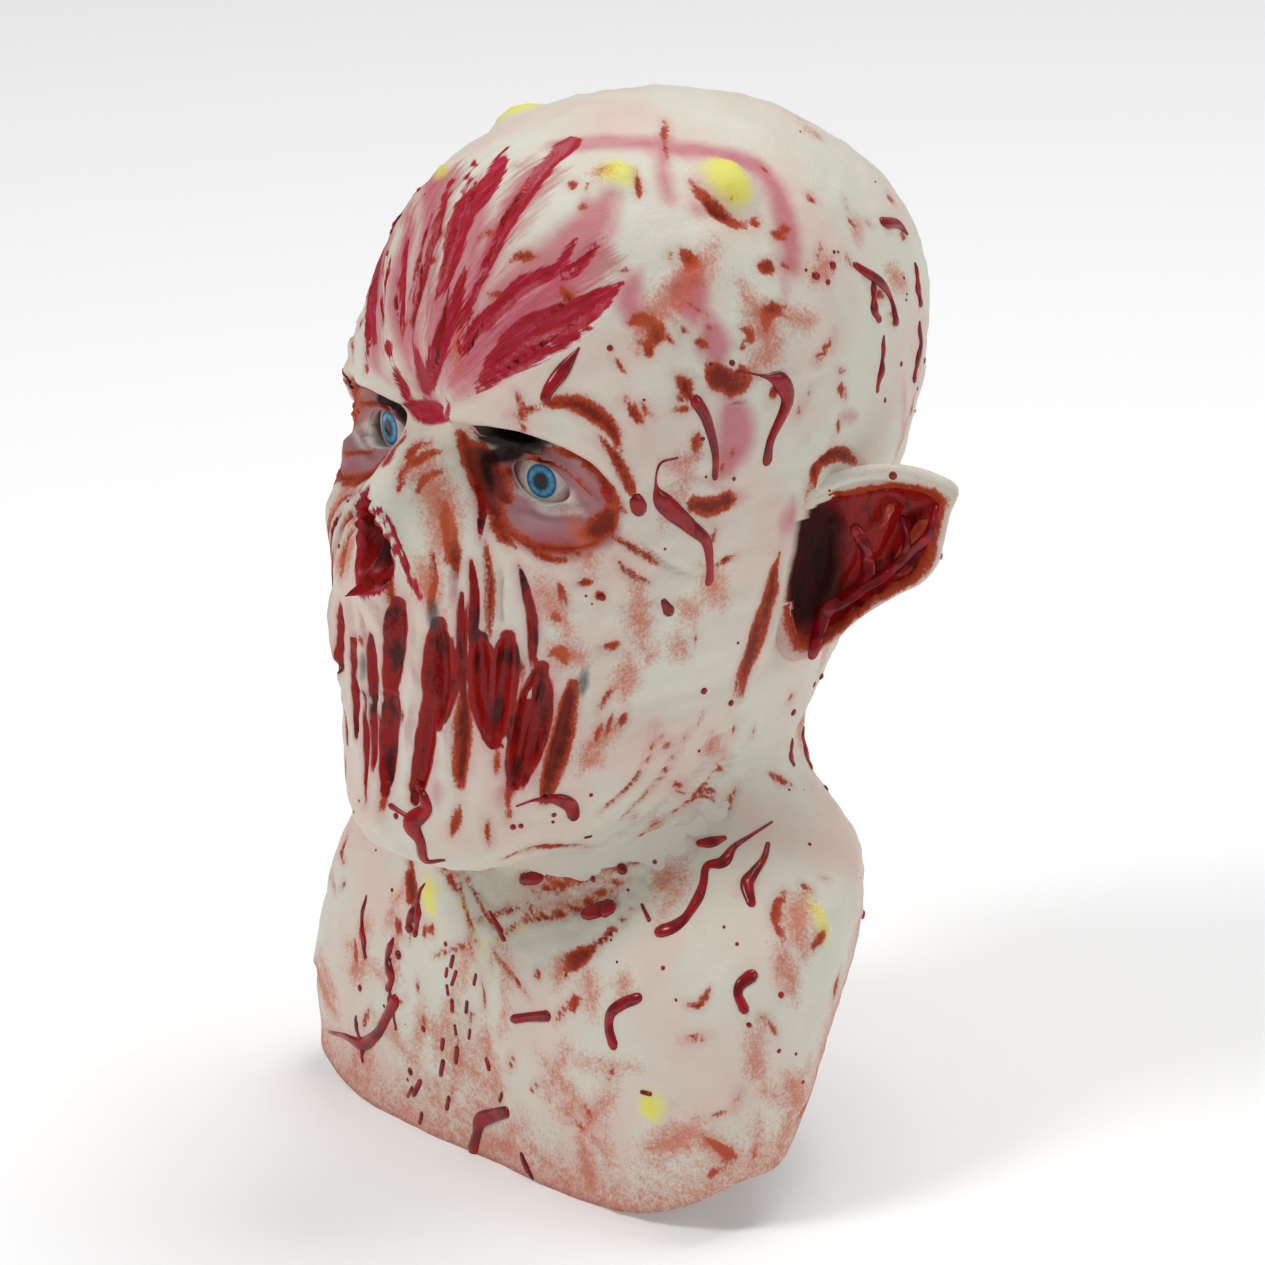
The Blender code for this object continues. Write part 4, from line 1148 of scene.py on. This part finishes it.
def eye_paint():
    """A glossy painted eye: veined white, blue iris with spokes, black pupil."""
    r = Recipe("painted_eye")
    away = r.field("from_pupil")
    fine = r.noise(0.0016, 5.0, 0.6)
    white = r.mix(r.step(r.sum(away, "ADD", r.sum(fine, "MULTIPLY", 5.0)), 6.5, 11.5),
                  (0.55, 0.50, 0.47), (0.30, 0.08, 0.09))
    spoke = r.node("ShaderNodeTexNoise")
    r.join(r.node("ShaderNodeAttribute", attribute_name="spoke").outputs["Vector"],
           spoke.inputs["Vector"])
    spoke.inputs["Scale"].default_value = 6.0
    spoke.inputs["Detail"].default_value = 3.0
    rays = r.step(spoke.outputs["Fac"], 0.35, 0.65)
    iris = r.mix(rays, colour_of("iris"), colour_of("pale_iris"))
    iris = r.mix(r.step(away, 4.4, 5.8), iris, (0.01, 0.07, 0.16))
    iris = r.mix(r.step(away, 4.2, 2.4), iris, (0.005, 0.02, 0.04))
    colour = r.mix(r.step(away, 6.3, 5.6), white, iris)
    colour = r.mix(r.step(away, 2.9, 2.2), colour, (0.002, 0.002, 0.003))
    r.join(colour, r.shader.inputs["Base Color"])
    r.shader.inputs["Roughness"].default_value = 0.16
    r.shader.inputs["Specular IOR Level"].default_value = 0.3
    r.join(r.bump(fine, 0.06, 0.0004), r.shader.inputs["Normal"])
    return r.material


def blood_paint():
    """Thick gloss blood, darker in patches."""
    r = Recipe("gloss_blood")
    cloud = r.noise(0.004, 3.0, 0.5)
    r.join(r.mix(r.step(cloud, -0.12, 0.15), colour_of("blood"), colour_of("dark_blood")),
           r.shader.inputs["Base Color"])
    r.join(r.step(r.noise(0.002, 2.0), -0.3, 0.3, 0.14, 0.26), r.shader.inputs["Roughness"])
    r.shader.inputs["Specular IOR Level"].default_value = 0.4
    r.join(r.bump(cloud, 0.15, 0.0006), r.shader.inputs["Normal"])
    return r.material


def floor_paint():
    """Plain pale backdrop."""
    r = Recipe("pale_floor")
    r.shader.inputs["Base Color"].default_value = (0.97, 0.97, 0.97, 1.0)
    r.shader.inputs["Emission Color"].default_value = (1.0, 1.0, 1.0, 1.0)
    r.shader.inputs["Emission Strength"].default_value = 0.12
    r.shader.inputs["Roughness"].default_value = 0.9
    r.shader.inputs["Specular IOR Level"].default_value = 0.1
    return r.material


# Paint and blood by place

# Runs of thick blood: half-widths in mm along the line, and the line in pixels.
RUNS = (
    ((0.4, 2.4, 2.2, 1.8), ((579, 348), (563, 370), (551, 386), (545, 397))),
    ((0.4, 0.5, 0.6, 3.4, 2.6, 2.0, 1.4, 1.8), ((677, 458), (660, 464), (656, 485), (664, 503),
                                                (691, 527), (706, 541), (710, 565), (709, 581))),
    ((0.4, 0.6, 3.2, 2.8, 1.7, 2.1), ((738, 371), (763, 376), (780, 381), (787, 401),
                                      (771, 439), (767, 460))),
    ((2.2, 2.0, 1.4, 1.2), ((696, 401), (706, 418), (715, 451), (715, 477))),
    ((2.6, 3.0), ((636, 500), (639, 508))),
    ((1.6, 2.0, 1.2, 1.8), ((856, 266), (881, 283), (891, 300), (896, 321))),
    ((2.0, 2.0, 1.0), ((883, 222), (898, 224), (906, 233))),
    ((1.2, 2.1), ((664, 602), (669, 611))),
    ((1.6, 2.4, 3.6, 2.0, 1.7, 0.6), ((419, 785), (426, 808), (412, 823), (420, 841),
                                      (425, 860), (444, 860))),
    ((1.1, 0.8, 1.4), ((391, 806), (402, 813), (412, 820))),
    ((0.4, 0.6, 2.0, 2.6, 2.4), ((517, 806), (535, 800), (555, 799), (570, 805), (574, 815))),
    ((0.9, 1.4), ((445, 866), (449, 889))),
    ((2.4, 2.6), ((525, 879), (538, 877))),
    ((2.8, 3.4), ((588, 913), (607, 908))),
    ((0.5, 1.7), ((490, 912), (504, 938))),
    ((0.6, 0.8), ((642, 905), (649, 920))),
    ((0.4, 0.7, 1.2, 2.3, 1.5, 1.6, 2.1, 1.7, 2.3, 2.6, 2.5),
     ((772, 822), (750, 836), (734, 847), (723, 862), (707, 866), (703, 884), (697, 900),
      (688, 914), (681, 922), (671, 928), (661, 931))),
    ((1.4, 2.1, 1.0), ((700, 843), (712, 842), (724, 838))),
    ((0.9, 1.2, 1.8, 2.4, 1.7), ((768, 844), (764, 858), (754, 872), (747, 884), (751, 903))),
    ((2.4, 2.0, 1.6, 1.8), ((751, 976), (741, 984), (738, 994), (744, 1009))),
    ((2.0, 2.2, 2.0, 1.9, 2.1), ((637, 998), (622, 1004), (611, 1013), (609, 1028),
                                 (613, 1044))),
    ((2.1, 1.7, 1.7), ((547, 1016), (530, 1017), (514, 1019))),
    ((2.6, 2.0, 2.0, 2.5, 1.2, 0.5), ((395, 1001), (387, 1016), (377, 1034), (362, 1044),
                                      (345, 1036), (329, 1032))),
    ((2.2, 2.6, 2.9, 2.0, 2.4), ((506, 1112), (491, 1116), (480, 1121), (477, 1134),
                                 (473, 1149))),
    ((1.1, 1.8, 1.0), ((522, 1155), (526, 1166), (532, 1177))),
    ((1.8, 2.2, 2.0, 2.6, 3.2), ((936, 508), (928, 536), (906, 557), (881, 578), (864, 586))),
    ((2.2, 2.6, 3.2, 3.4, 2.6, 1.8), ((856, 530), (868, 557), (863, 586), (828, 611),
                                      (820, 630), (812, 658))),
    ((1.5, 1.8, 1.4), ((902, 519), (907, 540), (904, 556))),
)
# Short dashes of blood: half-width in mm and the two ends
DASHES = (
    (0.9, (453, 957), (451, 966)), (0.7, (447, 969), (446, 976)), (0.8, (456, 972), (452, 984)),
    (0.7, (447, 986), (448, 994)), (0.9, (452, 1001), (452, 1010)), (0.7, (455, 1026), (456, 1034)),
    (0.9, (457, 1048), (456, 1062)), (0.7, (476, 975), (474, 984)), (0.7, (467, 1002), (466, 1012)),
    (1.1, (487, 1060), (489, 1068)), (1.1, (443, 1062), (441, 1074)), (1.0, (449, 1098), (447, 1108)),
    (1.2, (420, 1082), (414, 1094)), (0.9, (502, 1094), (500, 1100)), (1.0, (422, 1114), (420, 1122)),
    (0.8, (412, 1088), (408, 1096)), (1.0, (443, 1040), (442, 1048)), (0.6, (470, 1030), (469, 1038)),
    (0.8, (642, 1092), (650, 1094)), (0.8, (586, 837), (590, 836)),
)
# Drops of blood: radius in mm and the pixel
DROPS = (
    (2.2, (622, 869)), (1.2, (593, 879)), (1.0, (554, 815)), (0.8, (553, 822)), (1.2, (513, 827)),
    (1.0, (521, 826)), (0.9, (591, 795)), (0.9, (502, 746)), (0.6, (359, 801)), (0.6, (354, 812)),
    (1.2, (396, 816)), (1.4, (781, 995)), (1.1, (749, 1025)), (1.0, (779, 1051)), (0.7, (796, 1054)),
    (0.9, (803, 1082)), (0.8, (737, 944)), (0.7, (724, 927)), (1.4, (704, 691)), (1.3, (731, 703)),
    (1.2, (610, 348)), (0.8, (711, 364)), (1.3, (732, 363)), (0.7, (682, 400)), (0.8, (703, 439)),
    (0.6, (706, 477)), (0.8, (734, 479)), (0.7, (836, 505)), (0.8, (885, 401)), (1.2, (901, 364)),
    (0.7, (906, 300)), (0.7, (904, 278)), (1.2, (828, 282)), (0.8, (834, 252)), (0.7, (838, 252)),
    (0.7, (806, 270)), (0.6, (665, 549)), (0.7, (738, 643)), (0.6, (644, 400)), (1.6, (602, 597)),
    (0.6, (586, 596)), (0.5, (592, 604)), (1.6, (893, 476)), (1.3, (887, 490)), (0.8, (896, 503)),
    (0.8, (699, 751)), (0.6, (617, 962)), (0.7, (628, 890)), (0.8, (655, 862)), (0.6, (611, 940)),
    (1.4, (360, 988)), (0.7, (384, 1006)), (0.8, (392, 890)), (0.7, (930, 300)), (0.9, (663, 968)),
    (0.7, (676, 1000)), (0.8, (566, 975)), (0.7, (600, 940)),
)


def sight_path(tree, line, half_widths, step=2.5):
    """Places, normals and half-widths along a line of pixels laid on the surface."""
    stations = [Vector((x, y, width)) for (x, y), width in zip(line, half_widths)]
    spots = []
    for x, y, width in smooth_line(stations, step):
        place, normal = sight(tree, (x, y))
        if place is not None and (not spots or (place - spots[-1][0]).length < 0.006):
            spots.append((place, normal, max(width, 0.3) / 1000))
    return spots


def trickle(tree, draw):
    """A run that starts at a random place away from the camera and creeps down the surface."""
    turn = draw.uniform(math.radians(120), math.radians(330))
    z = draw.uniform(-1.40, -0.08) * HEAD_HEIGHT
    place, _ = side_hit(tree, turn, z)
    if place is None:
        return []
    count = draw.randint(5, 30)
    widest = draw.uniform(0.8, 2.6) / 1000
    lean = draw.uniform(-0.4, 0.4)
    spots = []
    for k in range(count):
        place, normal, _, _ = tree.find_nearest(place)
        share = k / max(count - 1, 1)
        swell = 0.55 + 0.45 * math.cos(6.0 * share + turn) ** 2
        spots.append((place, normal, widest * swell * (0.35 + 0.65 * min(1.0, 3 * share))))
        side = normal.cross(Vector((0, 0, 1)))
        down = Vector((0, 0, -1)) + normal * normal.z
        lean = 0.8 * lean + draw.uniform(-0.35, 0.35)
        place = place + (down.normalized() + side * lean) * 0.0009
        if place.z < -1.46 * HEAD_HEIGHT:
            break
    return spots


def drop(place, normal, radius, squash=1.0):
    """Points and faces of one flat round drop."""
    side = normal.orthogonal().normalized()
    other = normal.cross(side)
    points, rings, count = [], ((1.0, -0.35), (0.92, 0.18), (0.6, 0.42)), 14
    for reach, lift in rings:
        for k in range(count):
            turn = 2 * math.pi * k / count
            spoke = side * (math.cos(turn) * squash) + other * math.sin(turn)
            points.append(place + spoke * (radius * reach) + normal * (radius * lift))
    points.append(place + normal * (radius * 0.5))
    points.append(place - normal * (radius * 0.35))
    faces = band_faces(3, count, 0) + fan_faces(count, 2 * count, 3 * count)
    faces += fan_faces(count, 0, 3 * count + 1)
    return points, faces


def bead(spots):
    """Points and faces of a half-round run through places, with round ends."""
    count = len(spots)
    if count < 3:
        return [], []
    normals = [sum((spots[k][1] for k in range(max(0, i - 2), min(count, i + 3))),
                   Vector()).normalized() for i in range(count)]
    ring = 12
    points, faces = [], []

    def loop(place, ahead, normal, width):
        side = normal.cross(ahead).normalized()
        height = 0.0003 + 0.40 * width
        for k in range(ring):
            turn = 2 * math.pi * k / ring
            rise = math.sin(turn)
            lift = rise * height if rise > 0 else rise * 0.0006
            points.append(place + side * (width * math.cos(turn)) + normal * lift)

    first = (spots[0][0] - spots[1][0]).normalized()
    last = (spots[-1][0] - spots[-2][0]).normalized()
    for reach, size in ((0.95, 0.35), (0.70, 0.72)):
        loop(spots[0][0] + first * spots[0][2] * reach, -first, normals[0], spots[0][2] * size)
    for i, (place, _, width) in enumerate(spots):
        ahead = (spots[min(i + 1, count - 1)][0] - spots[max(i - 1, 0)][0]).normalized()
        loop(place, ahead, normals[i], width)
    for reach, size in ((0.70, 0.72), (0.95, 0.35)):
        loop(spots[-1][0] + last * spots[-1][2] * reach, last, normals[-1], spots[-1][2] * size)
    rows = count + 4
    faces = band_faces(rows, ring, 0)
    points.append(spots[0][0] + first * spots[0][2])
    points.append(spots[-1][0] + last * spots[-1][2])
    faces += fan_faces(ring, 0, rows * ring) + fan_faces(ring, (rows - 1) * ring, rows * ring + 1)
    return points, faces


def paint_ears(found, ear, layers):
    """Redden the bowls of the ears, paint near-black shade into their depths and leave their folds
    pale.
    """
    side = np.sign(found[:, :1]) * [1, 0, 0] + [0, 1, 1]
    local = (found * side - np.array(EAR_ROOT)) / EAR_LENGTH
    back = np.array([math.cos(EAR_ANGLE), math.sin(EAR_ANGLE), 0.0])
    out = np.array([math.sin(EAR_ANGLE), -math.cos(EAR_ANGLE), 0.0])
    spot = np.stack([local @ back, local[:, 2]], axis=1)
    lift = local @ out
    centre, outline = np.array(EAR_CENTRE), np.array(EAR_OUTLINE)
    edge = outline - centre
    turns = np.arctan2(edge[:, 1], edge[:, 0])
    order = np.argsort(turns)
    way = np.arctan2(spot[:, 1] - centre[1], spot[:, 0] - centre[0])
    reach = np.interp(way, turns[order], np.hypot(edge[:, 0], edge[:, 1])[order],
                      period=2 * math.pi)
    share = np.hypot(*(spot - centre).T) / reach
    front = lift > np.interp(share, (0.3, 0.6, 0.76, 0.88, 1.0), (-0.20, -0.14, -0.08, -0.02, 0.0))
    rim = 0.80 - 0.22 * np.clip(np.sin(way), 0, 1) ** 4
    bowl = np.where(front, (rim - share) * 22, -8.0)
    near = ear | (front & (share < rim) & (np.abs(found[:, 0]) > 0.42 * HEAD_WIDTH)
                  & (lift < 0.2))
    red = bowl
    for fold in EAR_FOLDS:
        red = red - np.clip((0.040 - segment_reach(spot, *fold)) * 350, 0, 12)
    depth = ease((0.30 - segment_reach(spot, *EAR_DEPTH)) / 0.16)
    for name, values in (
        ("gore", np.clip(red, -8, 8)),
        ("stain", np.clip(bowl + 2.5, -8, 1)),
        # near-black painted shade in the depth of the bowl
        ("shade", np.where(front, 0.9 * depth * (share < rim), 0.0)),
        ("rust", np.where(front, -3.0, -1.5)),
        ("blush", np.where(spot[:, 1] < -0.5, 0.0, -4.0)),
    ):
        layers[name][near] = values[near]
    for name in ("bruise", "yolk", "raw", "flesh", "soot"):
        layers[name][near] = -8.0


def lay_paint(skin, marks, smooth, outer):
    """Keep on each point of the skin how far it lies inside each kind of mark, in mm."""
    shape = smooth.shape
    smooth, outer = smooth.reshape(-1, 3), outer.reshape(-1, 3)
    finder = KDTree(len(outer))
    for number, point in enumerate(outer):
        finder.insert(point, number)
    finder.balance()
    found = mesh_points(skin.data)
    nearest = [finder.find(p) for p in found]
    number = np.array([n[1] for n in nearest])
    apart = np.array([n[2] for n in nearest])
    ear = (apart > 0.0006) & (np.abs(found[:, 0]) > 0.42 * HEAD_WIDTH)
    points = np.where(ear[:, None], found, smooth[number])
    layers = {name: np.full(len(points), -8.0) for name in LAYERS}
    for name, form, half_width, _, line in marks:
        if name:
            near, reach = stroke_reach(points, line, half_width / 1000, form, 0.008)
            layers[name][near] = np.maximum(layers[name][near], reach * 1000)
    layers["shade"] = 0.35 * layers["shade"]
    reach = cavity_reach(points)
    layers["blush"] = np.maximum(layers["blush"], 0.9 * layers["gore"] + 0.6)
    layers["flesh"] = np.maximum(layers["flesh"], (1.14 - reach) * 10)
    layers["gore"] = np.maximum(layers["gore"], (0.98 - reach) * 12)
    # near-black painted shade deep in the nasal cavity
    layers["shade"] = np.maximum(layers["shade"], 0.85 * ease((0.85 - reach) / 0.5))
    above_rim = (smooth.reshape(shape)[..., 2] - smooth.reshape(shape)[-1:, :, 2]).reshape(-1)
    layers["rust"] = np.maximum(layers["rust"], 3.0 - above_rim[number] * 1000 / 4.0)
    paint_ears(found, ear, layers)
    normals = np.empty(len(found) * 3, np.float32)
    skin.data.vertices.foreach_get("normal", normals)
    ways = found - found * [0, 0, 1] - [0, -0.02, 0]
    inside = np.sum(normals.reshape(-1, 3) * ways, axis=1) < 0
    inside &= (apart > 0.0012) & ~ear
    # the walls of the vision holes get full near-black painted shade and no other paint
    ways = np.abs(found) - [HOLE_X, -HOLE_Y, -HOLE_Z]
    hole = (found[:, 1] < 0) & (np.hypot(ways[:, 0] / HOLE_WIDTH, ways[:, 2] / HOLE_HEIGHT) < 0.62)
    for name, values in layers.items():
        values[inside] = -8.0
        values[hole] = 1.0 if name == "shade" else -8.0
        store(skin.data, name, values)
    x, z = points[:, 0], points[:, 2] - ROOT_Z
    fan = np.stack([np.arctan2(x, z) * 34.0, np.hypot(x, z) * 1000 / 12.0, np.zeros(len(x))],
                   axis=1)
    ray = skin.data.attributes.new("fan", "FLOAT_VECTOR", "POINT")
    ray.data.foreach_set("vector", fan.astype(np.float32).ravel())



# Panel


def tint(name, words, colour):
    """A colour setting."""
    return FloatVectorProperty(name=name, description=words, subtype="COLOR", size=3,
                               min=0.0, max=1.0, default=colour)


class ZombieMaskSizes(bpy.types.PropertyGroup):
    """Sizes of the casting and of its blood."""

    fineness: IntProperty(name="Fineness", description="How finely the skin is cast",
                          default=2, min=1, max=2)
    blood_height: FloatProperty(name="Blood height", description="Scale of the raised blood",
                                default=1.0, min=0.2, max=3.0)


class ZombieMaskPaint(bpy.types.PropertyGroup):
    """Colours of the paint."""

    latex: tint("Latex", "Bare cream latex", (0.69, 0.675, 0.58))
    warm_latex: tint("Warm latex", "Pinker latex", (0.72, 0.56, 0.49))
    rust: tint("Rust", "Dry-brushed brown", (0.43, 0.050, 0.012))
    salmon: tint("Salmon", "Thin sprayed brown", (0.56, 0.105, 0.042))
    dark_rust: tint("Dark rust", "Thick brown in the folds", (0.19, 0.016, 0.006))
    blush: tint("Blush", "Airbrushed magenta", (0.53, 0.050, 0.120))
    bruise: tint("Bruise", "Purple round the eyes", (0.29, 0.070, 0.110))
    yolk: tint("Yolk", "Yellow of the blisters", (0.80, 0.77, 0.090))
    flesh: tint("Flesh", "Bright raw red", (0.42, 0.014, 0.036))
    gore: tint("Gore", "Wet red in the wounds", (0.31, 0.006, 0.005))
    dark_gore: tint("Dark gore", "Deepest red", (0.075, 0.005, 0.003))
    blood: tint("Blood", "Raised blood", (0.34, 0.003, 0.010))
    dark_blood: tint("Dark blood", "Thick raised blood", (0.16, 0.001, 0.005))
    iris: tint("Iris", "Blue of the eyes", (0.025, 0.20, 0.42))
    pale_iris: tint("Pale iris", "Spokes of the eyes", (0.09, 0.38, 0.60))


MADE = {}


def keep(piece, slot, material, *nodes):
    """Give a piece its finish, fix it to the body and let it stand for its nodes."""
    piece.data.materials.clear()
    piece.data.materials.append(material)
    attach(piece, "root")
    if nodes:
        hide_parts(*nodes)


def gather(name, parts):
    """Join many small forms into one bloody piece."""
    points, faces = [], []
    for more, made in parts:
        faces.extend(tuple(k + len(points) for k in face) for face in made)
        points.extend(more)
    keep(mesh_object(name, points, faces), "latex_skin", blood_paint())


class ZOMBIEMASK_OT_skin(bpy.types.Operator):
    """Cast and paint the latex skin"""

    bl_idname = "zombie_mask.skin"
    bl_label = "Cast Skin"

    def execute(self, context):
        skin, marks, smooth, outer = cast_skin(context.scene.zombie_mask_sizes.fineness)
        lay_paint(skin, marks, smooth, outer)
        keep(skin, "latex_skin", skin_paint(), "latex_skin")
        MADE["skin"] = skin
        return {"FINISHED"}


class ZOMBIEMASK_OT_eyes(bpy.types.Operator):
    """Set the painted eyes behind the lids"""

    bl_idname = "zombie_mask.eyes"
    bl_label = "Set Eyes"

    def execute(self, context):
        finish = eye_paint()
        for name, side in (("left", 1), ("right", -1)):
            dome = eye_dome(f"{name}_painted_eye", side, 0.0, EYE_BACK, 40, 96)
            middle, _, across, up = eye_frame(side)
            offset = mesh_points(dome.data) - middle
            a, b = offset @ across * 1000, offset @ up * 1000
            away = np.hypot(a, b)
            store(dome.data, "from_pupil", away)
            spoke = dome.data.attributes.new("spoke", "FLOAT_VECTOR", "POINT")
            ways = np.stack([a, b, 0.15 * away], axis=1) / np.maximum(away, 0.1)[:, None]
            ways[:, 2] = 0.05 * away
            spoke.data.foreach_set("vector", ways.astype(np.float32).ravel())
            keep(dome, "eye_paint", finish, f"{name}_eye")
        return {"FINISHED"}


class ZOMBIEMASK_OT_blood(bpy.types.Operator):
    """Run raised blood over the skin"""

    bl_idname = "zombie_mask.blood"
    bl_label = "Run Blood"

    def execute(self, context):
        mesh = MADE["skin"].data
        mesh.calc_loop_triangles()
        faces = [tuple(t.vertices) for t in mesh.loop_triangles]
        tree = surface_tree(mesh_points(mesh), faces)
        draw = random.Random(5)
        paths = [sight_path(tree, line, widths) for widths, line in RUNS]
        paths += [sight_path(tree, ends, (width, width), 1.2) for width, *ends in DASHES]
        paths += [trickle(tree, draw) for _ in range(60)]
        gather("blood_runs", [bead(path) for path in paths])
        drops = []
        for radius, pixel in DROPS:
            place, normal = sight(tree, pixel)
            if place is not None:
                drops.append(drop(place, normal, radius / 1000, draw.uniform(0.75, 1.0)))
        for _ in range(170):
            turn = draw.uniform(math.radians(105), math.radians(345))
            z = draw.uniform(-1.45, -0.02) * HEAD_HEIGHT
            place, normal = side_hit(tree, turn, z)
            radius = draw.uniform(0.35, 1.0) ** 2 * 0.0019
            if place is not None:
                drops.append(drop(place, normal, radius, draw.uniform(0.7, 1.0)))
        gather("blood_drops", drops)
        return {"FINISHED"}


class ZOMBIEMASK_OT_stage(bpy.types.Operator):
    """Set up the floor, the light and the camera"""

    bl_idname = "zombie_mask.stage"
    bl_label = "Set Stage"

    def execute(self, context):
        scene = context.scene
        scene.view_settings.view_transform = "Standard"
        low = CAD_BOX[0][2]
        size = 6.0
        floor = mesh_object("floor", [(-size, -size, low), (size, -size, low),
                                      (size, size, low), (-size, size, low)], [(0, 1, 2, 3)])
        floor.data.materials.append(floor_paint())
        scene.world = scene.world or bpy.data.worlds.new("studio")
        scene.world.use_nodes = True
        sky = scene.world.node_tree.nodes["Background"]
        sky.inputs["Color"].default_value = (1.0, 1.0, 1.0, 1.0)
        sky.inputs["Strength"].default_value = 0.30
        right, up, toward = camera_axes()
        for name, place, power, width in (
            ("key_light", VIEW_TARGET - right * 1.5 + up * 1.5 + toward * 1.3, 23.0, 0.8),
            ("fill_light", VIEW_TARGET + right * 1.8 + up * 0.5 + toward * 1.2, 6.0, 1.2),
            ("top_light", VIEW_TARGET + Vector((0.0, 0.9, 2.2)), 28.0, 1.4),
        ):
            light = bpy.data.lights.new(name, "AREA")
            light.shape = "DISK"
            light.size = width
            light.energy = power
            lamp = bpy.data.objects.new(name, light)
            lamp.location = place
            lamp.rotation_euler = (VIEW_TARGET - place).to_track_quat("-Z", "Y").to_euler()
            scene.collection.objects.link(lamp)
        lens = bpy.data.cameras.new("camera")
        lens.sensor_width = 36.0
        lens.lens = PIXELS_PER_METRE * VIEW_DISTANCE / PICTURE * 36.0
        lens.clip_end = 50.0
        camera = bpy.data.objects.new("camera", lens)
        turn = Matrix((right, up, toward)).transposed().to_4x4()
        camera.matrix_world = Matrix.Translation(VIEW_TARGET + toward * VIEW_DISTANCE) @ turn
        scene.collection.objects.link(camera)
        scene.camera = camera
        return {"FINISHED"}


class ZOMBIEMASK_PT_panel(bpy.types.Panel):
    """Sizes, colours and steps of the mask"""

    bl_idname = "ZOMBIEMASK_PT_panel"
    bl_label = "Zombie Mask"
    bl_space_type = "VIEW_3D"
    bl_region_type = "UI"
    bl_category = "Zombie Mask"

    def draw(self, context):
        for group in (context.scene.zombie_mask_sizes, context.scene.zombie_mask_paint):
            box = self.layout.box()
            for name in group.__annotations__:
                box.prop(group, name)
        for step in STEPS:
            self.layout.operator(step.bl_idname)


STEPS = (ZOMBIEMASK_OT_skin, ZOMBIEMASK_OT_eyes, ZOMBIEMASK_OT_blood, ZOMBIEMASK_OT_stage)
CLASSES = (ZombieMaskSizes, ZombieMaskPaint, *STEPS, ZOMBIEMASK_PT_panel)


def register():
    """Add the classes and their settings."""
    for made in CLASSES:
        bpy.utils.register_class(made)
    bpy.types.Scene.zombie_mask_sizes = PointerProperty(type=ZombieMaskSizes)
    bpy.types.Scene.zombie_mask_paint = PointerProperty(type=ZombieMaskPaint)


def unregister():
    """Take the classes and their settings away."""
    del bpy.types.Scene.zombie_mask_paint
    del bpy.types.Scene.zombie_mask_sizes
    for made in reversed(CLASSES):
        bpy.utils.unregister_class(made)


def main():
    """Make the whole mask."""
    random.seed(7)
    register()
    bpy.ops.zombie_mask.stage()
    bpy.ops.zombie_mask.skin()
    bpy.ops.zombie_mask.eyes()
    bpy.ops.zombie_mask.blood()


if __name__ == "__main__":
    main()
